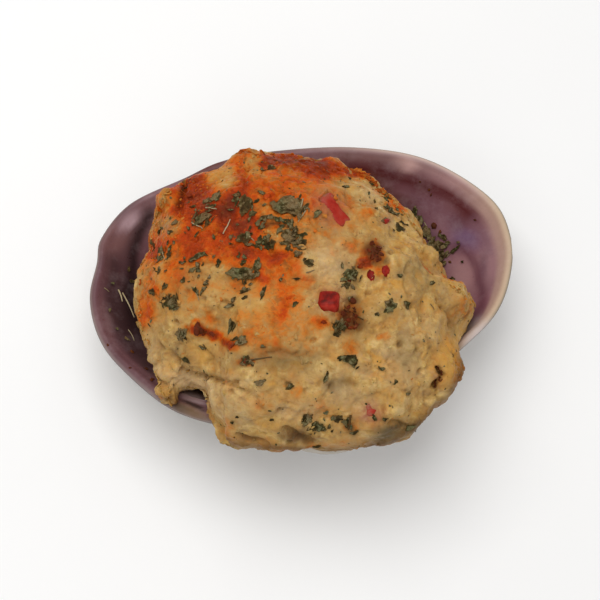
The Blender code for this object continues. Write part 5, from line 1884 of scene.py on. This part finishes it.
def herb_material(settings):
    """Dried leaf: dark green to bleached olive, with pale veins, worn edges, and painted highlights and shade
    on its wrinkles and folds.
    """
    name = "dried herb"
    if name in bpy.data.materials:
        return bpy.data.materials[name]
    material, tree, surface = new_surface(name)
    place = object_place(tree)
    height, value = grain(tree, 0.9 * MM, 0.3 * MM)
    shade, edge, toast = (value_named(tree, kind) for kind in ("shade", "edge", "toast"))
    dark, pale = tuple(settings.herb), tuple(settings.herb_pale)
    leaf = ramp(tree, summed(tree, shade, ranged(tree, value, 0.15, 0.85, -0.5, 0.5), 0.8), (
        (0.0, tuple(channel * 0.6 for channel in dark)), (0.35, dark), (0.62, (0.110, 0.083, 0.032)),
        (0.85, pale), (1.0, (0.165, 0.112, 0.050)),
    ))
    wrinkles = noise_node(tree, place, 0.7 * MM, 3.0, 0.6, 1.5)
    # Painted highlights and shade on the leaf's wrinkles.
    lights = ramp(tree, wrinkles, ((0.36, (0.50, 0.46, 0.42)), (0.5, WHITE), (0.64, (1.45, 1.4, 1.35))))
    baked = times(tree, ranged(tree, toast, 0.3, 0.8), ranged(tree, value, 0.2, 0.8, 0.38, 0.0))
    greener = clouded(tree, place, (4.0, 2.0, 0.5), 0.46, 0.60, 0.9)
    colour = coated(
        tree, leaf,
        (0.8, lights, "MULTIPLY"),
        (ranged(tree, edge, 0.72, 1.05, 0.0, 0.6), (0.150, 0.080, 0.025)),
        (baked, (0.135, 0.044, 0.014)),
        (greener, (0.76, 1.0, 0.96), "MULTIPLY"),
    )
    linked(tree, surface, {
        "Base Color": colour,
        "Roughness": ranged(tree, value, 0.0, 1.0, 0.55, 0.8),
        "Normal": bumped(tree, height, 0.7, 0.25 * MM),
        "Specular IOR Level": 0.06,
    })
    return material


def stem_material():
    """Dry straw, or darker stalk where the stem's dark value says so."""
    name = "dry stem"
    if name in bpy.data.materials:
        return bpy.data.materials[name]
    material, tree, surface = new_surface(name)
    height, value = grain(tree, 1.5 * MM, 0.25 * MM)
    straw = ramp(tree, value, ((0.0, (0.30, 0.22, 0.11)), (1.0, (0.62, 0.52, 0.33))))
    linked(tree, surface, {
        "Base Color": mixed(tree, value_named(tree, "dark"), straw, (0.085, 0.045, 0.014)),
        "Roughness": 0.7,
        "Normal": bumped(tree, height, 0.4, 0.1 * MM),
        "Specular IOR Level": 0.08,
    })
    return material


def pepper_material(settings):
    """Cooked red pepper: deep red, paler towards its edges."""
    material, tree, surface = new_surface("red pepper")
    height, value = grain(tree, 1.6 * MM, 0.35 * MM)
    edge = ranged(tree, value_named(tree, "edge"), 0.45, 1.1, 0.0, 0.55)
    tone = summed(tree, times(tree, value, 0.35), edge)
    tone = summed(tree, tone, value_named(tree, "pale"), 0.6)
    cloudy = noise_node(tree, object_place(tree), 1.8 * MM, 3.0, 0.6)
    tone = summed(tree, tone, ranged(tree, cloudy, 0.3, 0.7, -0.5, 0.5), 0.35)
    stops = (
        (0.0, (0.085, 0.008, 0.005)), (0.22, tuple(settings.pepper)), (0.5, (0.37, 0.023, 0.012)),
        (0.75, (0.36, 0.048, 0.027)), (1.0, (0.30, 0.12, 0.070)),
    )
    linked(tree, surface, {
        "Base Color": ramp(tree, tone, stops),
        "Roughness": ranged(tree, value, 0.0, 1.0, 0.3, 0.5),
        "Normal": bumped(tree, height, 0.35, 0.2 * MM),
        "Specular IOR Level": 0.12,
        "Subsurface Weight": 0.1,
        "Subsurface Radius": (1.0, 0.25, 0.2),
        "Subsurface Scale": 1.0 * MM,
    })
    return material


# Stage


def area_light(name, place, power, colour):
    """A soft square light aimed at the middle of the part."""
    light = bpy.data.lights.new(name, "AREA")
    light.size = LIGHT_SIZE
    light.energy = power
    light.color = colour
    obj = bpy.data.objects.new(name, light)
    obj.location = place
    obj.rotation_euler = (LIGHT_AIM - Vector(place)).to_track_quat("-Z", "Y").to_euler()
    bpy.context.scene.collection.objects.link(obj)


def make_stage(settings):
    """Pale floor, soft light and the camera on the line of sight."""
    x, y = FLOOR_HALF * np.array(((-1, 1, 1, -1), (-1, -1, 1, 1)))
    floor = new_object("floor", np.column_stack([x, y, np.zeros(4)]), [(0, 1, 2, 3)])
    material, tree, surface = new_surface("pale floor")
    tone = tuple(settings.floor)
    stops = ((0.3, tuple(channel * 0.985 for channel in tone)), (0.7, tone))
    cloud = noise_node(tree, object_place(tree), 60.0 * MM, 2.0, 0.5)
    linked(tree, surface, {"Base Color": ramp(tree, cloud, stops), "Roughness": 0.75})
    floor.data.materials.append(material)
    scene = bpy.context.scene
    scene.world = bpy.data.worlds.new("soft light")
    scene.world.use_nodes = True
    tree = scene.world.node_tree
    linked(tree, tree.nodes["Background"], {"Color": (*WHITE, 1.0), "Strength": settings.light})
    area_light("key", (-0.12, 0.16, 0.62), 2.45, (1.0, 0.99, 0.97))
    area_light("fill", (-0.15, -0.5, 0.4), 0.5, WHITE)
    camera = bpy.data.cameras.new("camera")
    camera.sensor_width = SENSOR
    camera.lens = SENSOR / (2 * SIGHT_MIDDLE * SIGHT_PIXEL)
    camera.clip_start = 0.01
    obj = bpy.data.objects.new("camera", camera)
    eye, right, up, back = sight()
    obj.matrix_world = Matrix.Translation(eye) @ Matrix((right, up, back)).transposed().to_4x4()
    scene.collection.objects.link(obj)
    scene.camera = obj
    scene.view_settings.view_transform = "Standard"


class CLAM_OT_shell(bpy.types.Operator):
    """Build the valve"""

    bl_idname = "clam.shell"
    bl_label = "Shell"

    def execute(self, context):
        make_shell(context.scene.clam_shell)
        return {"FINISHED"}


class CLAM_OT_stuffing(bpy.types.Operator):
    """Build the heap of stuffing"""

    bl_idname = "clam.stuffing"
    bl_label = "Stuffing"

    def execute(self, context):
        make_stuffing(context.scene.clam_stuffing)
        return {"FINISHED"}


class CLAM_OT_crumbs(bpy.types.Operator):
    """Strew crumbs of crust on the heap"""

    bl_idname = "clam.crumbs"
    bl_label = "Crumbs"

    def execute(self, context):
        make_crumbs(context.scene.clam_stuffing)
        return {"FINISHED"}


class CLAM_OT_herbs(bpy.types.Operator):
    """Lay dried leaves, specks and stems on the heap"""

    bl_idname = "clam.herbs"
    bl_label = "Herbs"

    def execute(self, context):
        make_herbs(context.scene.clam_toppings)
        make_specks(context.scene.clam_toppings)
        make_stems()
        return {"FINISHED"}


class CLAM_OT_fallen(bpy.types.Operator):
    """Drop leaves, stems and crumbs into the shell"""

    bl_idname = "clam.fallen"
    bl_label = "Fallen bits"

    def execute(self, context):
        make_fallen(context.scene.clam_stuffing, context.scene.clam_toppings)
        return {"FINISHED"}


class CLAM_OT_pepper(bpy.types.Operator):
    """Set the pieces of red pepper in the heap"""

    bl_idname = "clam.pepper"
    bl_label = "Red pepper"

    def execute(self, context):
        make_pepper(context.scene.clam_toppings)
        return {"FINISHED"}


class CLAM_OT_stage(bpy.types.Operator):
    """Lay the floor and place the lights and the camera"""

    bl_idname = "clam.stage"
    bl_label = "Stage"

    def execute(self, context):
        make_stage(context.scene.clam_stage)
        return {"FINISHED"}


OPERATORS = (
    CLAM_OT_shell, CLAM_OT_stuffing, CLAM_OT_crumbs, CLAM_OT_herbs, CLAM_OT_fallen, CLAM_OT_pepper,
    CLAM_OT_stage,
)
SETTINGS = {
    "clam_shell": ShellSettings,
    "clam_stuffing": StuffingSettings,
    "clam_toppings": ToppingSettings,
    "clam_stage": StageSettings,
}


class CLAM_PT_panel(bpy.types.Panel):
    """Settings and steps of the stuffed clam"""

    bl_idname = "CLAM_PT_panel"
    bl_label = "Stuffed clam"
    bl_space_type = "VIEW_3D"
    bl_region_type = "UI"
    bl_category = "Stuffed clam"

    def draw(self, context):
        for name, group in SETTINGS.items():
            box = self.layout.box()
            for key in group.__annotations__:
                box.prop(getattr(context.scene, name), key)
        for operator in OPERATORS:
            self.layout.operator(operator.bl_idname)


def register():
    for cls in (*SETTINGS.values(), *OPERATORS, CLAM_PT_panel):
        bpy.utils.register_class(cls)
    for name, group in SETTINGS.items():
        setattr(bpy.types.Scene, name, PointerProperty(type=group))


def unregister():
    for name in SETTINGS:
        delattr(bpy.types.Scene, name)
    for cls in reversed((*SETTINGS.values(), *OPERATORS, CLAM_PT_panel)):
        bpy.utils.unregister_class(cls)


def main():
    register()
    bpy.ops.clam.shell()
    bpy.ops.clam.stuffing()
    bpy.ops.clam.crumbs()
    bpy.ops.clam.herbs()
    bpy.ops.clam.fallen()
    bpy.ops.clam.pepper()
    bpy.ops.clam.stage()


if __name__ == "__main__":
    main()
